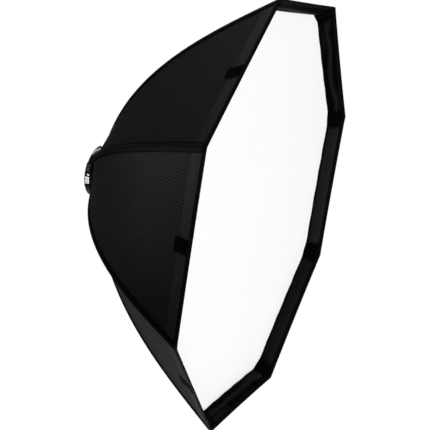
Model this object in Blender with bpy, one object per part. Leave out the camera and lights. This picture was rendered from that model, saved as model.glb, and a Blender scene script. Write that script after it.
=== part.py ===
"""Octagonal studio softbox on a rotating speed ring with a lever clamp.

Metres, +Z up. The origin lies on the turning axis, at the rear face of the
clamp collar, and the light leaves towards -Y. Pieces that repeat are numbered
from the top, clockwise as seen from the front.
"""

import math

import bmesh
import bpy
from mathutils import Matrix, Vector

# Clearances
GAP = 0.0003              # left between pieces that touch
RUNNING_GAP = 0.0008      # turning ring to collar, on the radius

# Mount, as radii and walls from the axis outwards
BORE_RADIUS = 0.0472      # flash head that the rubber liner takes
LINER_WALL = 0.0025
COLLAR_WALL = 0.0032
BAND_WALL = 0.0026
LEVER_THICKNESS = 0.0022
PAD_THICKNESS = 0.0012

# Mount, along the axis from the rear face forwards
BAND_SETBACK = 0.0012     # rear face of the collar to the clamp band
BAND_WIDTH = 0.0130
BAND_EDGE = 0.0006        # chamfer along the outside of the band and the lever
FLANGE_SPACE = 0.0006     # clamp band to the collar's flange
FLANGE_THICKNESS = 0.0075
FLANGE_HEIGHT = 0.0035
RING_DEPTH = 0.0185
CLIP_THICKNESS = 0.0016
CLIP_HEIGHT = 0.0035      # how far the retaining ring stands out of its groove
CLIP_SEAT = 0.0010        # depth of the groove
CLIP_OPENING = math.radians(24)
COLLAR_NOSE = 0.0044      # collar beyond the retaining ring's groove
SLOT_WIDTH = 0.0016       # slots that let the collar's rear end close
SLOT_PAIRS = 4
LINER_SETBACK = 0.0010

# Ring body and rod sockets
RIM_WIDTH = 0.0037        # flat rear rim of the ring body
RIM_SLOPE = 0.0052        # depth of the cone from the rim to the ring's outside
RING_WALL = 0.0092
SOCKET_LENGTH = 0.0240
SOCKET_WALL = 0.0030

# Clamp lever
PIVOT_ANGLE = math.radians(206)
LEVER_SPAN = math.radians(50)
PIVOT_LIFT = 0.0012       # pivot above the outside of the band
KNUCKLE_RADIUS = 0.0026
KNUCKLE_SPACE = 0.0006    # round the knuckle, where the band is cut away
PIN_RADIUS = 0.0010
EAR_THICKNESS = 0.0022
EAR_SETBACK = 0.0003      # ear to the edge of the band
EAR_ROOT = 0.0030         # how far an ear runs along the band
PAD_START = math.radians(32)
PAD_SPAN = math.radians(15)
PAD_RIBS = 5
PAD_RIB_HEIGHT = 0.0005
LEVER_EDGE = 0.0012       # pad to the edge of the lever
NECK_REACH = 1.5          # neck into the blade, in spans from the pivot to the blade

# Cloth shell
SIDES = 8
FRONT_RADIUS = 0.450      # axis to a front corner
FRONT_EDGE = 0.4115       # rear face of the collar to the front edge
SHELL_TURN = math.radians(40)  # from the root of a sprung rod to its tip
HEM_SEAT = 0.0035         # ring's rim to the rear opening of the cloth, on the radius
REAR_SETBACK = 0.0030     # rear of the ring body to the rear edge of the cloth
ROUND_LENGTH = 0.050      # stretch in which the round rear becomes eight-sided
CLOTH = 0.0010
HEM_BOW = 0.001           # how far the front edge draws back between two corners
REAR_HEM_RADIUS = 0.0021  # half the thickness of the hem bead
LIP_DEPTH = 0.034         # front edge to the front diffuser

# Seam sleeves
SLEEVE_HALF = 0.010
SLEEVE_LIFT = 0.0014
SLEEVE_REAR_SPACE = 0.012
SLEEVE_FRONT_SPACE = 0.006

# Rods
ROD_RADIUS = 0.0020
ROOT_INSET = 0.0076       # cloth to the rod's middle at the ring
TIP_INSET = 0.0050        # and at the front corner
TIP_SPACE = 0.010         # front corner to the tip of the rod

# Front lip
POCKET_LEG = 0.0185       # along each panel from the corner
POCKET_FRONT_SPACE = 0.0045
TAPE_THICKNESS = 0.0014
TAPE_WIDTH = 0.021
TAPE_END_SPACE = 0.004    # pocket to the end of a hook strip
TAB_WIDTH = 0.026
TAB_LENGTH = 0.034
TAB_SPACE = 0.0065        # front edge to the tab
TAB_THICKNESS = 0.0012

# Diffusers
DIFFUSER_CLOTH = 0.0008
INNER_RADIUS = 0.205      # axis to a corner of the inner diffuser
INNER_DEPTH = 0.205       # rear face of the collar to the inner diffuser
STRAP_WIDTH = 0.014
LOOP_WALL = 0.0012
LOOP_LENGTH = 0.014

# Facets
STATIONS = 14             # along a seam
COLUMNS = 4               # across a panel
ROUND_FACETS = 48
BOSS_FACETS = 16
BAR_FACETS = 12
BEAD_FACETS = 8
ROD_POINTS = 15
LINE_STEPS = 56           # straight steps that make up the line of a seam
LEAST_ROW = 0.2           # part of a station that a sheet's end row keeps
SLOPE_STEP = 0.01         # share over which a slope is measured

# Radii and depths that follow
COLLAR_INSIDE = BORE_RADIUS + LINER_WALL + GAP
COLLAR_OUTSIDE = COLLAR_INSIDE + COLLAR_WALL
BAND_INSIDE = COLLAR_OUTSIDE + GAP
BAND_OUTSIDE = BAND_INSIDE + BAND_WALL
LEVER_INSIDE = BAND_OUTSIDE + GAP
LEVER_OUTSIDE = LEVER_INSIDE + LEVER_THICKNESS
PIVOT_RADIUS = BAND_OUTSIDE + PIVOT_LIFT
RING_INSIDE = COLLAR_OUTSIDE + RUNNING_GAP
RIM_RADIUS = RING_INSIDE + RIM_WIDTH
RING_OUTSIDE = RING_INSIDE + RING_WALL
BAND_END = BAND_SETBACK + BAND_WIDTH
EAR_REAR = BAND_SETBACK + EAR_SETBACK
EAR_FRONT = BAND_END - EAR_SETBACK
FLANGE_START = BAND_END + FLANGE_SPACE
RING_REAR = FLANGE_START + FLANGE_THICKNESS + GAP
RING_FRONT = RING_REAR + RING_DEPTH
CLIP_START = RING_FRONT + GAP
CLIP_END = CLIP_START + CLIP_THICKNESS
COLLAR_END = CLIP_END + COLLAR_NOSE
SOCKET_BORE = ROD_RADIUS + GAP
SOCKET_RADIUS = SOCKET_BORE + SOCKET_WALL

# Ends of the line that every seam follows, in a plane of radius and distance forwards
HALF_SIDE = math.pi / SIDES
SEAM_REAR = Vector((RIM_RADIUS + HEM_SEAT, RING_REAR + REAR_SETBACK))
SEAM_FRONT = Vector((FRONT_RADIUS, FRONT_EDGE))


def rod_heading(share):
    """Slope of a rod pulled in at its tip, whose bend falls evenly to nothing there."""
    return -SHELL_TURN * (1 - share) ** 2


def rod_steps():
    """Points of that rod in steps of one, from its root."""
    points = [Vector((0.0, 0.0))]
    for step in range(LINE_STEPS):
        heading = rod_heading((step + 0.5) / LINE_STEPS)
        points.append(points[-1] + Vector((math.cos(heading), math.sin(heading))))
    return points


# The rod's line, swung and sized to run between the two ends
BARE_LINE = rod_steps()
SWING = (SEAM_FRONT - SEAM_REAR).angle_signed(BARE_LINE[-1])
STEP_LENGTH = (SEAM_FRONT - SEAM_REAR).length / BARE_LINE[-1].length
SEAM_LENGTH = STEP_LENGTH * LINE_STEPS


def clear_scene():
    for item in list(bpy.data.objects):
        bpy.data.objects.remove(item, do_unlink=True)


def make_material(name, colour, roughness, metallic=0.0):
    material = bpy.data.materials.new(name)
    material.use_nodes = True
    shader = material.node_tree.nodes["Principled BSDF"]
    shader.inputs["Base Color"].default_value = (*colour, 1.0)
    shader.inputs["Roughness"].default_value = roughness
    shader.inputs["Metallic"].default_value = metallic
    material.diffuse_color = (*colour, 1.0)
    return material


def make_axis(name, place):
    """An empty that carries the pieces of one moving body."""
    axis = bpy.data.objects.new(name, None)
    axis.location = place
    bpy.context.scene.collection.objects.link(axis)
    return axis


def add_object(name, bm, material, axis=None):
    """Make an object of a bmesh whose points are world coordinates."""
    mesh = bpy.data.meshes.new(name)
    bm.to_mesh(mesh)
    bm.free()
    piece = bpy.data.objects.new(name, mesh)
    bpy.context.scene.collection.objects.link(piece)
    if material:
        mesh.materials.append(material)
    if axis:
        piece.parent = axis
        piece.matrix_parent_inverse = Matrix.Translation(-axis.location)
    return piece


def smooth(piece, angle=math.radians(32)):
    piece.data.shade_smooth()
    piece.data.set_sharp_from_angle(angle=angle)


def combine(piece, other, operation):
    """Join or cut a piece with a hidden helper."""
    other.hide_render = True
    other.display_type = "WIRE"
    step = piece.modifiers.new(operation.title(), "BOOLEAN")
    step.operation = operation
    step.solver = "EXACT"
    step.object = other


def at(radius, angle, forward):
    """World point at a radius and angle round the axis, forward of the rear face."""
    return Vector((radius * math.cos(angle), -forward, radius * math.sin(angle)))


def fill(bm, points):
    return bm.faces.new([bm.verts.new(point) for point in points])


def turned(profile, start=0.0, span=2 * math.pi, facets=ROUND_FACETS):
    """Turn a closed outline of (radius, forward) points round the axis."""
    bm = bmesh.new()
    whole = abs(span) >= 2 * math.pi - 1e-9
    count = facets if whole else max(3, round(facets * abs(span) / (2 * math.pi)))
    rows = []
    for step in range(count if whole else count + 1):
        angle = start + span * step / count
        rows.append([bm.verts.new(at(radius, angle, forward)) for radius, forward in profile])
    for step in range(count):
        row = rows[step]
        following = rows[(step + 1) % len(rows)]
        for index in range(len(profile)):
            after = (index + 1) % len(profile)
            bm.faces.new((row[index], row[after], following[after], following[index]))
    if not whole:
        bm.faces.new(rows[0])
        bm.faces.new(rows[-1])
    bmesh.ops.recalc_face_normals(bm, faces=bm.faces)
    return bm


def box_outline(inside, outside, rear, front):
    return [(inside, rear), (outside, rear), (outside, front), (inside, front)]


def add_rod_shape(bm, start, end, radius, facets):
    """A straight round bar between two points."""
    way = end - start
    turn = way.to_track_quat("Z", "Y").to_matrix().to_4x4()
    bmesh.ops.create_cone(
        bm, cap_ends=True, segments=facets, radius1=radius, radius2=radius, depth=way.length,
        matrix=Matrix.Translation((start + end) / 2) @ turn)


def panel_angle(number):
    return math.pi / 2 - number * 2 * HALF_SIDE


def seam_angle(number):
    """Seam between a panel and the next one clockwise."""
    return panel_angle(number) - HALF_SIDE


def line_point(share, inset=0.0):
    """Radius and forward on the seam's line, share 0 at the rear and 1 at the front."""
    step = min(max(math.floor(share * LINE_STEPS), 0), LINE_STEPS - 1)
    bare = BARE_LINE[step].lerp(BARE_LINE[step + 1], share * LINE_STEPS - step)
    heading = rod_heading(share)
    inward = Vector((-math.sin(heading), math.cos(heading)))
    swing = Matrix.Rotation(SWING, 2)
    return SEAM_REAR + swing @ (bare * STEP_LENGTH + inward * inset)


def seam_point(share):
    """The same line as the cloth's facets follow it."""
    station = min(max(math.floor(share * STATIONS), 0), STATIONS - 1)
    first = line_point(station / STATIONS)
    second = line_point((station + 1) / STATIONS)
    return first.lerp(second, share * STATIONS - station)


def share_at(forward, curve):
    """Share at which a curve reaches a distance forward."""
    low, high = 0.0, 1.0
    for _ in range(40):
        middle = (low + high) / 2
        if curve(middle).y < forward:
            low = middle
        else:
            high = middle
    return (low + high) / 2


def grid_point(middle, column, share):
    """Corner of a cloth facet on the panel whose middle lies at an angle."""
    offset = (2 * column / COLUMNS - 1) * HALF_SIDE
    corner, forward = seam_point(share)
    flat = corner * math.cos(HALF_SIDE) / math.cos(offset)
    rest = max(0.0, 1 - share * SEAM_LENGTH / ROUND_LENGTH)
    return at(flat + (corner - flat) * rest * rest, middle + offset, forward)


def shell_point(middle, across, share):
    """Point on the cloth's outside, across -1 and 1 at the panel's two seams."""
    column = (across + 1) / 2 * COLUMNS
    first = min(max(math.floor(column), 0), COLUMNS - 1)
    start = grid_point(middle, first, share)
    return start.lerp(grid_point(middle, first + 1, share), column - first)


def shell_normal(middle, across, share):
    left = shell_point(middle, max(across - SLOPE_STEP, -1), share)
    right = shell_point(middle, min(across + SLOPE_STEP, 1), share)
    rear = shell_point(middle, across, max(share - SLOPE_STEP, 0))
    front = shell_point(middle, across, min(share + SLOPE_STEP, 1))
    normal = (right - left).cross(front - rear).normalized()
    outside = Vector((left.x, 0, left.z))
    return normal if normal.dot(outside) > 0 else -normal


def across_from_seam(middle, share, distance, side):
    """Across value at a distance from the seam on one side of a panel."""
    edge = COLUMNS if side > 0 else 0
    facet = grid_point(middle, edge, share) - grid_point(middle, edge - side, share)
    return side * (1 - distance / facet.length * 2 / COLUMNS)


def rod_point(share):
    """Radius and forward of a rod's middle line."""
    return line_point(share, ROOT_INSET + (TIP_INSET - ROOT_INSET) * share)


def rows_between(first, last):
    """Shares from first to last, with the cloth's own stations between them."""
    inner = [step / STATIONS for step in range(STATIONS + 1)]
    margin = LEAST_ROW / STATIONS
    return [first] + [share for share in inner if first + margin < share < last - margin] + [last]


def add_sheet(name, rows, thickness, outward, material, axis):
    """A cloth sheet through rows of points, thickened to one side."""
    bm = bmesh.new()
    grid = [[bm.verts.new(point) for point in row] for row in rows]
    for row, following in zip(grid, grid[1:]):
        for index in range(len(row) - 1):
            bm.faces.new((row[index], row[index + 1], following[index + 1], following[index]))
    bm.normal_update()
    face = list(bm.faces)[len(bm.faces) // 2]
    centre = face.calc_center_median()
    if face.normal.dot(Vector((centre.x, 0, centre.z))) < 0:
        bmesh.ops.reverse_faces(bm, faces=bm.faces)
    sheet = add_object(name, bm, material, axis)
    step = sheet.modifiers.new("Thickness", "SOLIDIFY")
    step.thickness = thickness
    step.offset = 1.0 if outward else -1.0
    step.use_even_offset = True
    return sheet


def front_share(setback):
    """Share at a distance along the cloth behind the front corner."""
    return 1 - setback / SEAM_LENGTH


def add_panel(number, material, axis):
    middle = panel_angle(number)
    pull = CLOTH * math.sin(HALF_SIDE) + GAP / 2
    rows = []
    for station in range(STATIONS + 1):
        row = []
        for column in range(COLUMNS + 1):
            share = station / STATIONS
            across = 2 * column / COLUMNS - 1
            if column in (0, COLUMNS):
                across = across_from_seam(middle, share, pull, 1 if column else -1)
            if station == STATIONS:
                share = front_share(HEM_BOW * (1 - across * across))
            row.append(shell_point(middle, across, share))
        rows.append(row)
    add_sheet(f"panel_{number + 1}", rows, CLOTH, False, material, axis)


def add_sleeve(number, material, axis):
    """Tape that covers a seam, raised along its middle over the rod."""
    sides = ((panel_angle(number), -1), (panel_angle(number + 1), 1))
    lifts = ((SLEEVE_HALF, 0.0), (SLEEVE_HALF / 2, SLEEVE_LIFT))
    rows = []
    for share in rows_between(SLEEVE_REAR_SPACE / SEAM_LENGTH, front_share(SLEEVE_FRONT_SPACE)):
        halves = []
        normals = []
        for middle, side in sides:
            half = []
            for distance, lift in lifts:
                across = across_from_seam(middle, share, distance, side)
                normal = shell_normal(middle, across, share)
                half.append(shell_point(middle, across, share) + normal * (GAP + lift))
            halves.append(half)
            normals.append(shell_normal(middle, side * (1 - SLOPE_STEP), share))
        ridge = (normals[0] + normals[1]).normalized()
        top = shell_point(sides[0][0], sides[0][1], share) + ridge * (GAP + SLEEVE_LIFT)
        rows.append(halves[0] + [top] + halves[1][::-1])
    add_sheet(f"rod_sleeve_{number + 1}", rows, CLOTH, True, material, axis)


def rod_share(index):
    """Share of one of the points between which a rod runs straight."""
    return front_share(TIP_SPACE) * index / (ROD_POINTS - 1)


def add_rod(number, material, axis):
    """Sprung rod from the bottom of its socket to its corner pocket."""
    angle = seam_angle(number)
    line = bpy.data.curves.new(f"rod_{number + 1}", "CURVE")
    line.dimensions = "3D"
    line.bevel_depth = ROD_RADIUS
    line.bevel_resolution = 2
    line.use_fill_caps = True
    line.render_resolution_u = 0
    spline = line.splines.new("POLY")
    spline.points.add(ROD_POINTS - 1)
    for index, point in enumerate(spline.points):
        point.co = (*at(*rod_at(rod_share(index), angle)), 1.0)
    line.materials.append(material)
    rod = bpy.data.objects.new(f"rod_{number + 1}", line)
    bpy.context.scene.collection.objects.link(rod)
    rod.parent = axis
    rod.matrix_parent_inverse = Matrix.Translation(-axis.location)


def add_pocket(number, material, axis):
    """Corner pocket across a front corner, with a blind hole for the rod's tip."""
    sides = ((panel_angle(number), -1), (panel_angle(number + 1), 1))
    depth = CLOTH + GAP
    ends = []
    rear = share_at(FRONT_EDGE - LIP_DEPTH + GAP, seam_point)
    for share in (rear, front_share(POCKET_FRONT_SPACE)):
        legs = []
        normals = []
        for middle, side in sides:
            across = across_from_seam(middle, share, POCKET_LEG, side)
            normal = shell_normal(middle, across, share)
            legs.append(shell_point(middle, across, share) - normal * depth)
            normals.append(normal)
        inward = (normals[0] + normals[1]).normalized()
        tip = shell_point(sides[0][0], sides[0][1], share) - inward * (depth / inward.dot(normals[0]))
        ends.append((legs[0], tip, legs[1]))
    bm = bmesh.new()
    rings = [[bm.verts.new(point) for point in end] for end in ends]
    bm.faces.new(rings[0])
    bm.faces.new(rings[1])
    for index in range(3):
        after = (index + 1) % 3
        bm.faces.new((rings[0][index], rings[0][after], rings[1][after], rings[1][index]))
    bmesh.ops.recalc_face_normals(bm, faces=bm.faces)
    pocket = add_object(f"corner_pocket_{number + 1}", bm, material, axis)
    tip_share = front_share(TIP_SPACE)
    angle = seam_angle(number)
    end = at(*rod_at(tip_share, angle))
    way = (end - at(*rod_at(rear - GAP, angle))).normalized()
    hole = bmesh.new()
    add_rod_shape(hole, end - way * 2 * LIP_DEPTH, end + way * GAP, ROD_RADIUS + GAP, BAR_FACETS)
    combine(pocket, add_object(f"pocket_cut_{number + 1}", hole, None, axis), "DIFFERENCE")


def rod_at(share, angle):
    radius, forward = rod_point(share)
    return radius, angle, forward


def add_hook_strip(number, material, axis):
    """Strip inside the lip that holds one side of the front diffuser."""
    middle = panel_angle(number)
    rear = share_at(FRONT_EDGE - LIP_DEPTH + GAP, seam_point)
    rows = []
    for share in rows_between(rear, rear + TAPE_WIDTH / SEAM_LENGTH):
        edge = across_from_seam(middle, share, POCKET_LEG + TAPE_END_SPACE, 1)
        rows.append([
            shell_point(middle, across, share) - shell_normal(middle, 0.0, share) * (CLOTH + GAP)
            for across in (-edge, edge)])
    add_sheet(f"hook_strip_{number + 1}", rows, TAPE_THICKNESS, False, material, axis)


def add_tab(number, material, axis):
    """Hook-and-loop tab outside the middle of one front edge."""
    middle = panel_angle(number)
    last = front_share(HEM_BOW + TAB_SPACE)
    rows = []
    for share in rows_between(last - TAB_LENGTH / SEAM_LENGTH, last):
        half_side = seam_point(share).x * math.sin(HALF_SIDE)
        offset = math.atan(TAB_WIDTH / 2 / half_side * math.tan(HALF_SIDE))
        edge = offset / HALF_SIDE
        normal = shell_normal(middle, 0.0, share)
        rows.append([shell_point(middle, across, share) + normal * GAP for across in (-edge, edge)])
    add_sheet(f"edge_tab_{number + 1}", rows, TAB_THICKNESS, True, material, axis)


def extrude_outline(outline, rear, thickness):
    """Flat sheet of (x, z) points, square to the axis."""
    bm = bmesh.new()
    face = fill(bm, [Vector((x, -rear, z)) for x, z in outline])
    grown = bmesh.ops.extrude_face_region(bm, geom=[face])
    moved = [item for item in grown["geom"] if isinstance(item, bmesh.types.BMVert)]
    bmesh.ops.translate(bm, verts=moved, vec=Vector((0, -thickness, 0)))
    bmesh.ops.recalc_face_normals(bm, faces=bm.faces)
    return bm


def add_front_diffuser(material, axis):
    """Octagon that stops short of the rods at its eight corners."""
    front = FRONT_EDGE - LIP_DEPTH
    rear = front - DIFFUSER_CLOTH
    share = share_at(rear, seam_point)
    slope = abs(shell_normal(panel_angle(0), 0.0, share).z)
    reach = seam_point(share).x * math.cos(HALF_SIDE) - (CLOTH + GAP) / slope
    steep = (rod_point(share) - rod_point(share - SLOPE_STEP)).normalized().y
    nearest = rod_point(share_at(rear, rod_point)).x - ROD_RADIUS / steep - 2 * GAP
    half_corner = (reach / math.cos(HALF_SIDE) - nearest) / math.tan(HALF_SIDE)
    outline = []
    for number in range(SIDES):
        angle = seam_angle(number)
        for side in (1, -1):
            turn = math.atan2(side * half_corner, nearest)
            length = math.hypot(half_corner, nearest)
            outline.append((length * math.cos(angle + turn), length * math.sin(angle + turn)))
    add_object("front_diffuser", extrude_outline(outline, rear, DIFFUSER_CLOTH), material, axis)


def add_inner_diffuser(material, axis):
    """Inner cloth with a strap and a loop to each rod."""
    share = share_at(INNER_DEPTH, rod_point)
    centre = rod_point(share)
    half = STRAP_WIDTH / 2
    outline = []
    for number in range(SIDES):
        angle = seam_angle(number)
        out = Vector((math.cos(angle), math.sin(angle)))
        side = Vector((-out.y, out.x))
        root = INNER_RADIUS - half * math.tan(HALF_SIDE)
        for reach, offset in ((root, half), (centre.x, half), (centre.x, -half), (root, -half)):
            outline.append(tuple(out * reach + side * offset))
    rear = INNER_DEPTH - DIFFUSER_CLOTH / 2
    sheet = add_object("inner_diffuser", extrude_outline(outline, rear, DIFFUSER_CLOTH), material, axis)
    loops = bmesh.new()
    holes = bmesh.new()
    for number in range(SIDES):
        angle = seam_angle(number)
        way = (at(*rod_at(share + SLOPE_STEP, angle)) - at(*rod_at(share - SLOPE_STEP, angle))).normalized()
        middle = at(*rod_at(share, angle))
        bore = ROD_RADIUS + GAP
        reach = way * LOOP_LENGTH / 2
        add_rod_shape(loops, middle - reach, middle + reach, bore + LOOP_WALL, BAR_FACETS)
        add_rod_shape(holes, middle - 2 * reach, middle + 2 * reach, bore, BAR_FACETS)
    combine(sheet, add_object("strap_loops", loops, None, axis), "UNION")
    combine(sheet, add_object("strap_holes", holes, None, axis), "DIFFERENCE")


def add_rear_hem(material, axis):
    """Bead that closes the cloth round the ring."""
    middle = SEAM_REAR - Vector((0, REAR_HEM_RADIUS + GAP))
    outline = []
    for step in range(BEAD_FACETS):
        angle = 2 * math.pi * step / BEAD_FACETS
        outline.append(middle + REAR_HEM_RADIUS * Vector((math.cos(angle), math.sin(angle))))
    hem = add_object("rear_hem", turned(outline), material, axis)
    smooth(hem, math.radians(60))


def add_ring_body(material, axis):
    """Turned ring with a slanted socket for the root of every rod."""
    outline = [
        (RING_INSIDE, RING_REAR),
        (RIM_RADIUS, RING_REAR),
        (RING_OUTSIDE - RIM_WIDTH / 2, RING_REAR + RIM_SLOPE),
        (RING_OUTSIDE, RING_REAR + RIM_SLOPE + RIM_WIDTH / 2),
        (RING_OUTSIDE, RING_FRONT),
        (RING_INSIDE, RING_FRONT),
    ]
    ring = add_object("ring_body", turned(outline), material, axis)
    smooth(ring)
    bosses = bmesh.new()
    holes = bmesh.new()
    for number in range(SIDES):
        angle = seam_angle(number)
        root = at(*rod_at(0.0, angle))
        way = (at(*rod_at(rod_share(1), angle)) - root).normalized()
        mouth = root + way * SOCKET_LENGTH
        add_rod_shape(bosses, root + way * GAP, mouth, SOCKET_RADIUS, BOSS_FACETS)
        add_rod_shape(holes, root - way * GAP, mouth + way * SOCKET_LENGTH, SOCKET_BORE, BAR_FACETS)
    combine(ring, add_object("socket_bosses", bosses, None, axis), "UNION")
    combine(ring, add_object("socket_holes", holes, None, axis), "DIFFERENCE")


def add_mount_collar(material):
    """Sleeve with a flange, a groove and a slotted rear end."""
    groove = COLLAR_OUTSIDE - CLIP_SEAT
    outline = [
        (COLLAR_INSIDE, 0.0),
        (COLLAR_OUTSIDE, 0.0),
        (COLLAR_OUTSIDE, FLANGE_START),
        (COLLAR_OUTSIDE + FLANGE_HEIGHT, FLANGE_START),
        (COLLAR_OUTSIDE + FLANGE_HEIGHT, FLANGE_START + FLANGE_THICKNESS),
        (COLLAR_OUTSIDE, FLANGE_START + FLANGE_THICKNESS),
        (COLLAR_OUTSIDE, CLIP_START - GAP),
        (groove, CLIP_START - GAP),
        (groove, CLIP_END + GAP),
        (COLLAR_OUTSIDE, CLIP_END + GAP),
        (COLLAR_OUTSIDE, COLLAR_END),
        (COLLAR_INSIDE, COLLAR_END),
    ]
    collar = add_object("mount_collar", turned(outline), material)
    smooth(collar)
    for number in range(SLOT_PAIRS):
        cutter = bmesh.new()
        bmesh.ops.create_cube(cutter, size=1.0)
        turn = Matrix.Rotation(math.pi * (number + 0.5) / SLOT_PAIRS, 4, "Y")
        size = Matrix.Diagonal((4 * COLLAR_OUTSIDE, 2 * BAND_END, SLOT_WIDTH, 1.0))
        bmesh.ops.transform(cutter, matrix=turn @ size, verts=cutter.verts)
        combine(collar, add_object(f"slot_cut_{number + 1}", cutter, None), "DIFFERENCE")


def add_collar_liner(material):
    outline = box_outline(BORE_RADIUS, BORE_RADIUS + LINER_WALL, LINER_SETBACK, COLLAR_END - LINER_SETBACK)
    smooth(add_object("collar_liner", turned(outline), material))


def add_retaining_ring(material):
    inside = COLLAR_OUTSIDE - CLIP_SEAT + GAP
    outline = box_outline(inside, inside + CLIP_HEIGHT + CLIP_SEAT, CLIP_START, CLIP_END)
    start = PIVOT_ANGLE + CLIP_OPENING / 2
    ring = add_object("retaining_ring", turned(outline, start, 2 * math.pi - CLIP_OPENING), material)
    smooth(ring)


def edged_outline(inside, outside, rear, front):
    """Square outline with its two outer corners chamfered."""
    return [
        (inside, rear), (outside - BAND_EDGE, rear), (outside, rear + BAND_EDGE),
        (outside, front - BAND_EDGE), (outside - BAND_EDGE, front), (inside, front)]


def pivot_bar(bm, rear, front, radius, facets=BOSS_FACETS):
    """Round bar along the lever's pivot."""
    ends = [at(PIVOT_RADIUS, PIVOT_ANGLE, forward) for forward in (rear, front)]
    add_rod_shape(bm, *ends, radius, facets)


def add_ear_shape(bm, rear, front):
    """Plate that runs from the band to the pivot and rounds off there."""
    root = (BAND_INSIDE + BAND_OUTSIDE) / 2
    for forward in (rear, front):
        for angle in (PIVOT_ANGLE, PIVOT_ANGLE + EAR_ROOT / BAND_OUTSIDE):
            bm.verts.new(at(root, angle, forward))
        pivot = at(PIVOT_RADIUS, PIVOT_ANGLE, forward)
        for step in range(BOSS_FACETS):
            bm.verts.new(pivot + at(KNUCKLE_RADIUS, 2 * math.pi * step / BOSS_FACETS, 0.0))
    hull = bmesh.ops.convex_hull(bm, input=bm.verts)
    bmesh.ops.delete(bm, geom=hull["geom_interior"], context="VERTS")
    bmesh.ops.dissolve_limit(bm, angle_limit=math.radians(1), verts=bm.verts, edges=bm.edges)


def add_clamp_band(material):
    """Open band with two ears for the lever's pin."""
    near = 2 * PIN_RADIUS / BAND_OUTSIDE
    far = (KNUCKLE_RADIUS + KNUCKLE_SPACE) / BAND_INSIDE
    outline = edged_outline(BAND_INSIDE, BAND_OUTSIDE, BAND_SETBACK, BAND_END)
    band = add_object("clamp_band", turned(outline, PIVOT_ANGLE + near, 2 * math.pi - near - far), material)
    smooth(band)
    clear = bmesh.new()
    pivot_bar(clear, EAR_REAR + EAR_THICKNESS, EAR_FRONT - EAR_THICKNESS, KNUCKLE_RADIUS + KNUCKLE_SPACE)
    combine(band, add_object("band_clear", clear, None), "DIFFERENCE")
    ears = ((EAR_REAR, EAR_REAR + EAR_THICKNESS), (EAR_FRONT - EAR_THICKNESS, EAR_FRONT))
    for number, (rear, front) in enumerate(ears, 1):
        ear = bmesh.new()
        add_ear_shape(ear, rear, front)
        combine(band, add_object(f"ear_{number}", ear, None), "UNION")
    hole = bmesh.new()
    pivot_bar(hole, -BAND_WIDTH, 2 * BAND_END, PIN_RADIUS + GAP)
    combine(band, add_object("band_hole", hole, None), "DIFFERENCE")


def add_clamp_lever(material, axis):
    """Curved lever that lies round the band, hinged between the band's ears."""
    rear = EAR_REAR + EAR_THICKNESS + GAP
    front = EAR_FRONT - EAR_THICKNESS - GAP
    neck_span = (KNUCKLE_RADIUS + 2 * KNUCKLE_SPACE) / LEVER_INSIDE
    blade = edged_outline(LEVER_INSIDE, LEVER_OUTSIDE, BAND_SETBACK, BAND_END)
    lever = add_object(
        "clamp_lever", turned(blade, PIVOT_ANGLE - neck_span, neck_span - LEVER_SPAN), material, axis)
    smooth(lever)
    neck_outline = box_outline(LEVER_INSIDE, LEVER_OUTSIDE - BAND_EDGE, rear, front)
    neck = turned(neck_outline, PIVOT_ANGLE, -NECK_REACH * neck_span)
    knuckle = bmesh.new()
    pivot_bar(knuckle, rear, front, KNUCKLE_RADIUS)
    hole = bmesh.new()
    pivot_bar(hole, -BAND_WIDTH, 2 * BAND_END, PIN_RADIUS + GAP)
    combine(lever, add_object("lever_neck", neck, None, axis), "UNION")
    combine(lever, add_object("lever_knuckle", knuckle, None, axis), "UNION")
    combine(lever, add_object("lever_hole", hole, None, axis), "DIFFERENCE")


def add_lever_pin(material):
    bm = bmesh.new()
    pivot_bar(bm, EAR_REAR, EAR_FRONT, PIN_RADIUS, BAR_FACETS)
    smooth(add_object("lever_pin", bm, material))


def add_lever_pad(material, axis):
    """Grip with ribs across the lever."""
    inside = LEVER_OUTSIDE + GAP
    rear = BAND_SETBACK + LEVER_EDGE
    front = BAND_END - LEVER_EDGE
    start = PIVOT_ANGLE - PAD_START
    steps = 4 * PAD_RIBS
    bm = bmesh.new()
    rings = []
    for step in range(steps + 1):
        angle = start - PAD_SPAN * step / steps
        rib = PAD_RIB_HEIGHT if step % 4 in (1, 2) else 0.0
        outline = box_outline(inside, inside + PAD_THICKNESS + rib, rear, front)
        rings.append([bm.verts.new(at(radius, angle, forward)) for radius, forward in outline])
    for ring, following in zip(rings, rings[1:]):
        for index in range(4):
            after = (index + 1) % 4
            bm.faces.new((ring[index], ring[after], following[after], following[index]))
    bm.faces.new(rings[0])
    bm.faces.new(rings[-1])
    bmesh.ops.recalc_face_normals(bm, faces=bm.faces)
    add_object("lever_pad", bm, material, axis)


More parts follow.
